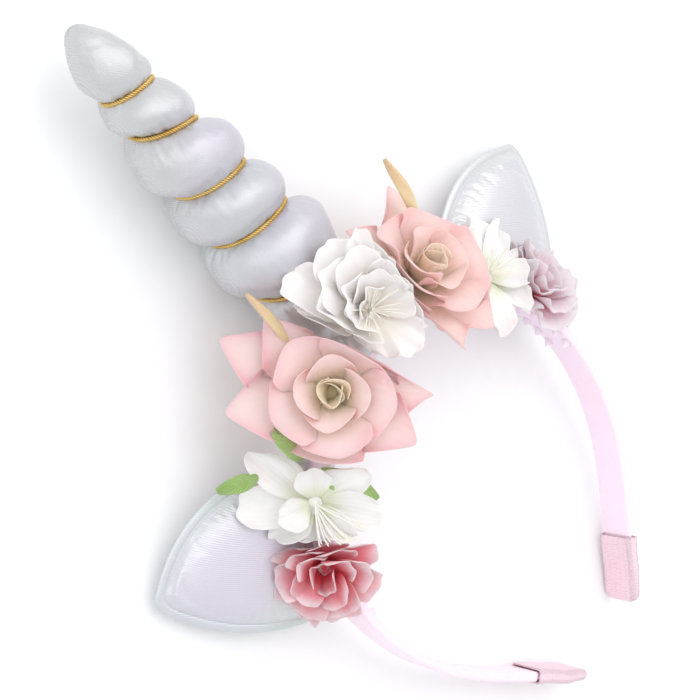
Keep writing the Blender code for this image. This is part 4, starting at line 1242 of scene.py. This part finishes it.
shine(
    Base_Color=board.blend(grain * 0.05 + 0.05, cream, (1.0, 1.0, 1.0)),
    Roughness=0.66 + 0.06 * grain,
    Normal=board.relief(grain * 0.3 + ray * 0.4, 0.00008),
)
for sign, side, rows in ((-1, "left", BLOSSOM_LEFT_PETALS), (1, "right", BLOSSOM_RIGHT_PETALS)):
    blossom = heads["blossom", sign]
    stalks = [heart(blossom, (4.8, 4.4, 4.0, 3.6), (1.8, 2.4, 2.0, 0.8))]
    stalks.append(stalk_to_band("blossom", sign, 4, 1.8))
    petals = [petal_sheet(blossom, row, order, 1.5, spoon) for order, row in enumerate(rows)]
    flower(f"blossom_petals_{side}", white, f"blossom_{side}", stalks, petals)


# Ruffled flowers. Rings of small round petals with crimped edges, coral on the left and pale pink
# with coral hearts on the right, glued over the outer ends of the two rows of flowers.
# A row for each ring: petals in it, length, width, lean at the foot and the tip, height of the foot
# and shade.
RUFFLED_LAYERS = (
    (7, 15, 13, 76, 100, -7.0, 0.0),
    (6, 13.5, 12, 52, 80, -6.7, 0.35),
    (4, 12, 11, 30, 56, -6.4, 0.7),
    (2, 9, 8, 12, 28, -6.0, 1.0),
)
crimped = petal_style(8, 9, neck=0.3, widest=0.7, point=2.6, crease=0.4, hug=0.1)
crimped |= {"wave": 0.9, "waves": 6.0, "nick": 0.5, "nicks": 8.0}
for sign, side, rim_colour, body_colour, deep_colour in (
    (-1, "left", (1.0, 0.74, 0.77), (1.0, 0.31, 0.36), (0.93, 0.08, 0.13)),
    (1, "right", (1.0, 0.88, 0.93), (1.0, 0.72, 0.80), (1.0, 0.30, 0.33)),
):
    dyed, board, shine = finish_of(f"ruffled_cloth_{side}", **translucent(0.35, 0.004, 0.0015, 0.0015))
    grain, across, along = cloth_grain(board)
    cloud = board.noise(130.0)
    colour = board.blend((along + (cloud - 0.5) * 0.5).ease(0.15, 0.6), deep_colour, body_colour)
    rim = (along + (across - 0.5).size() * 0.4 + (cloud - 0.5) * 0.4).ease(0.66, 1.12)
    colour = board.blend(rim, colour, rim_colour)
    shine(
        Base_Color=colour,
        Roughness=0.62 + 0.08 * grain,
        Normal=board.relief(grain * 0.4 + ((across - 0.5) * 50.0).sine() * 0.5, 0.0001),
    )
    ruffled = heads["ruffled", sign]
    stalks = [heart(ruffled, (7.2, 6.8, 6.4, 6.0), (1.8, 2.6, 2.2, 0.7))]
    stalks.append(stalk_to_band("ruffled", sign, 6, 1.8))
    petals, tones = [], []
    for layer, (count, length, width, foot_lean, tip_lean, foot, tone) in enumerate(RUFFLED_LAYERS):
        for i in range(count):
            row = (360 * (i + layer / 2) / count, length, width, foot_lean, tip_lean, 3.4, 0.18, foot)
            petals.append(petal_sheet(ruffled, row, len(petals), 2.0, crimped))
            tones.append(tone)
    slot = "coral_cloth" if sign < 0 else "pale_pink_cloth"
    flower(f"ruffled_petals_{side}", dyed, f"ruffled_flower_{side}", stalks, petals, 1.0, tones)


# Peony. A loose head of wide, thin cream-white petals with waved and nicked edges, round a tuft of
# white thread stamens, glued to the foot of the horn.
PEONY_PETALS = (
    (122, 26, 17, 72, 84, 2.5, 0.24, -8.0),
    (152, 24, 16, 74, 88, 2.5, 0.24, -8.0),
    (84, 22, 17, 66, 82, 2.5, 0.24, -8.0),
    (46, 23, 16, 66, 84, 2.5, 0.24, -8.0),
    (2, 21, 15, 68, 88, 2.5, 0.24, -8.0),
    (-36, 19, 14, 68, 90, 2.5, 0.24, -8.0),
    (-83, 17, 13, 66, 86, 2.5, 0.24, -8.0),
    (-135, 16, 13, 66, 86, 2.5, 0.24, -8.0),
    (105, 20, 17, 50, 68, 3.0, 0.22, -7.4),
    (140, 20, 16, 48, 66, 3.0, 0.22, -7.2),
    (70, 19, 16, 50, 66, 3.0, 0.22, -7.2),
    (20, 16, 14, 50, 68, 3.0, 0.22, -7.0),
    (-20, 14, 13, 48, 66, 3.0, 0.22, -7.0),
    (190, 15, 13, 48, 66, 3.0, 0.22, -7.0),
    (110, 15, 14, 32, 48, 3.0, 0.22, -6.8),
    (60, 14, 13, 30, 46, 3.0, 0.22, -6.6),
    (165, 13, 12, 30, 46, 3.0, 0.22, -6.6),
    (85, 10, 11, 14, 30, 3.0, 0.22, -6.0),
)
PEONY_FOOT = 12.0
loose = petal_style(10, 12, neck=0.3, widest=0.75, skew=0.8, point=2.2, crease=0.4)
loose |= {"wave": 1.3, "waves": 6.5, "nick": 1.0, "nicks": 10.0}
cream_cloth, board, shine = finish_of("peony_cloth", **translucent(0.2, 0.004, 0.004, 0.003))
grain, across, along = cloth_grain(board)
cloud = board.noise(60.0)
cream = board.blend(along.ease(0.1, 0.75), (1.0, 0.93, 0.82), (1.0, 0.965, 0.945))
cream = board.blend(cloud.ease(0.5, 0.75) * 0.3, cream, (0.985, 0.90, 0.88))
shine(
    Base_Color=board.blend(grain * 0.04 + 0.04, cream, (1.0, 1.0, 1.0)),
    Roughness=0.6 + 0.06 * grain,
    Normal=board.relief(grain * 0.3 + ((across - 0.5) * 44.0).sine() * 0.3, 0.00008),
)
rose_middle, _, _, rose_reach = HEADS["rose"]
roses = [mirrored(rose_middle, sign) for sign in (-1, 1)]
walls = [wall_between(PEONY_MIDDLE, PEONY_REACH, middle, rose_reach) for middle in roses]
peony = Head(PEONY_MIDDLE, PEONY_FACING, walls)
centre = horn_middle(PEONY_FOOT)
front = centre[1] - np.interp(PEONY_FOOT, HORN_HEIGHTS, HORN_FULL) - 0.2
foot = np.array((centre[0], front, PEONY_FOOT))
top = peony.place(0, 0, -7)
stalks = [heart(peony, (9, 8.2, 7.4, 6.4), (2.4, 4.0, 3.4, 1.8))]
stalks.append(turned_stalk([foot, foot * 0.5 + top * 0.5, top], (2.2, 2.8, 3.0)))
petals = [petal_sheet(peony, row, order, 2.0, loose) for order, row in enumerate(PEONY_PETALS)]
flower("peony_petals", cream_cloth, "peony", stalks, petals)


# Stamens. Stiff waxed threads with a small bead of paste at the outer end stand in the hearts of
# the white flowers, and droop from the left blossom.
wax, board, shine = finish_of("stamen_wax", Subsurface_Weight=0.2, Subsurface_Radius=(0.002, 0.002, 0.001))
bead_share = board.reads("bead")
speck = board.noise(700.0)
thread_colour = board.blend(speck, (0.97, 0.94, 0.86), (1.0, 0.98, 0.93))
shine(
    Base_Color=board.blend(bead_share, thread_colour, (0.98, 0.90, 0.68)),
    Roughness=0.4 + 0.15 * speck,
    Normal=board.relief(speck, 0.00003),
)
stamen_sizes = {"Thread radius": 0.00016, "Bead radius": 0.00038}
tree, board, size = geometry_board("stamen_threads", stamen_sizes)
threads = swept_thread(board, size["Geometry"], 6, size["Thread radius"])
ends = board.node("GeometryNodeCurveEndpointSelection", None, {"Start Size": 0, "End Size": 1})
sockets = {"Segments": 8, "Rings": 6, "Radius": size["Bead radius"]}
bead = board.node("GeometryNodeMeshUVSphere", None, sockets)
dots = board.node("GeometryNodeCurveToPoints", {"mode": "EVALUATED"}, {"Curve": size["Geometry"]})
sockets = {"Points": dots, "Selection": ends, "Instance": bead}
beads = board.node("GeometryNodeInstanceOnPoints", None, sockets)
both = board.tree.nodes.new("GeometryNodeJoinGeometry")
for made in (threads, beads):
    board.tree.links.new(made.socket, both.inputs[0])
end_tree(board, Wire(board, both.outputs[0]), wax)
seeded = np.random.default_rng(7)
for name, head, foot_height, count, length, lean_range, droop, turn_range in (
    ("peony_stamens", peony, -6.4, 26, 12.5, (4, 34), 1.5, (0, 360)),
    ("blossom_stamens_left", heads["blossom", -1], -3.2, 22, 15.0, (28, 66), 3.5, (-125, -45)),
    ("blossom_stamens_right", heads["blossom", 1], -3.2, 16, 9.5, (6, 38), 1.0, (0, 360)),
):
    lines = []
    for i in range(count):
        turn = math.radians(seeded.uniform(*turn_range))
        lean = math.radians(seeded.uniform(*lean_range))
        tall = length * seeded.uniform(0.72, 1.0)
        radial = head.right * math.cos(turn) + head.up * math.sin(turn)
        share = np.linspace(0.0, 1.0, 9)[:, None]
        way = head.axis * math.cos(lean) + radial * math.sin(lean)
        line = head.place(0, 0, foot_height) + way * tall * share + radial * droop * share**2
        line = line - np.array((0.0, 0.0, 1.0)) * droop * 0.5 * share**2
        lines.append(laid(keep_clear(line, head.walls, 0.3)))
    stamens = grown(name, line_curve(name, lines), tree)
    is_bead = np.zeros(len(stamens.data.vertices))
    where = places_of(stamens.data)
    for line in lines:
        is_bead[np.linalg.norm(where - line[-1], axis=1) < 0.00045] = 1.0
    point_values(stamens.data, "bead", is_bead)
    stamens.data.shade_smooth()
    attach(stamens, "root")


# Leaves. Small green ribbed cloth leaves glued under the left rose and blossom, and one narrow
# tan petal that stands up behind each rose.
green, board, shine = finish_of("leaf_cloth", Sheen_Weight=0.15)
grain, across, along = cloth_grain(board)
cloud = board.noise(120.0)
ribs = (along * 60.0 - (across - 0.5).size() * 30.0).sine()
tint = cloud.ease(0.3, 0.7) * 0.7 + ribs * 0.1
shine(
    Base_Color=board.blend(tint, (0.34, 0.55, 0.14), (0.50, 0.70, 0.26)),
    Roughness=0.6 + 0.1 * grain,
    Normal=board.relief(grain * 0.3 + ribs, 0.00012),
)
# The tan colour is partly the petals' own inner colour and partly painted shade. It darkens towards the
# tip.
tan, tan_board, tan_shine = finish_of("tan_petal_cloth", Sheen_Weight=0.2)
grain, across, along = cloth_grain(tan_board)
tan_shine(
    Base_Color=tan_board.blend(along.ease(0.0, 0.9), (0.90, 0.74, 0.42), (0.86, 0.62, 0.36)),
    Roughness=0.5 + 0.1 * grain,
    Normal=tan_board.relief(grain * 0.3 + ((across - 0.5) * 30.0).sine() * 0.4, 0.00008),
)
# A row for each leaf: its foot, its tip and its width.
LEAVES = (
    ((-37.5, -7.0, -2.0), (-40.5, -10.0, 12.5), 7.5),
    ((-50.0, -2.5, 3.0), (-61.0, -1.0, 9.8), 5.0),
    ((-38.0, -9.0, -8.0), (-30.0, -9.5, -28.0), 7.5),
)
TAN_PETALS = (
    ((-19.5, -8.0, 22.0), (-18.9, -7.0, 43.5), 3.0),
    ((35.0, -9.0, 15.0), (37.6, -11.5, 39.0), 4.2),
)
for name, finish, slot, rows in (
    ("leaves_left", green, "white_cloth", LEAVES),
    ("tan_petals", tan, "rose_cloth", TAN_PETALS),
):
    petals = []
    for foot, tip, width in rows:
        foot, tip = np.array(foot), np.array(tip)
        way = tip - foot
        side_way = unit(np.cross(way, (0.0, -1.0, 0.25)))
        out_way = unit(np.cross(side_way, way))
        t = np.linspace(0.0, 1.0, 13)[:, None]
        s = np.linspace(-1.0, 1.0, 9)[None, :]
        half = width / 2 * np.sin(math.pi * np.clip(t * 0.86 + 0.10, 0, 1)) ** 0.7
        bow = 1.6 * np.sin(math.pi * t) - 0.9 * s * s + 0.25 * np.sin(t * 9 + s * 3)
        sheet = foot + way * t[..., None] + side_way * (half * s)[..., None] + out_way * bow[..., None]
        petals.append(keep_clear(sheet, [], 0.35))
    flower(name, finish, None, [], petals)
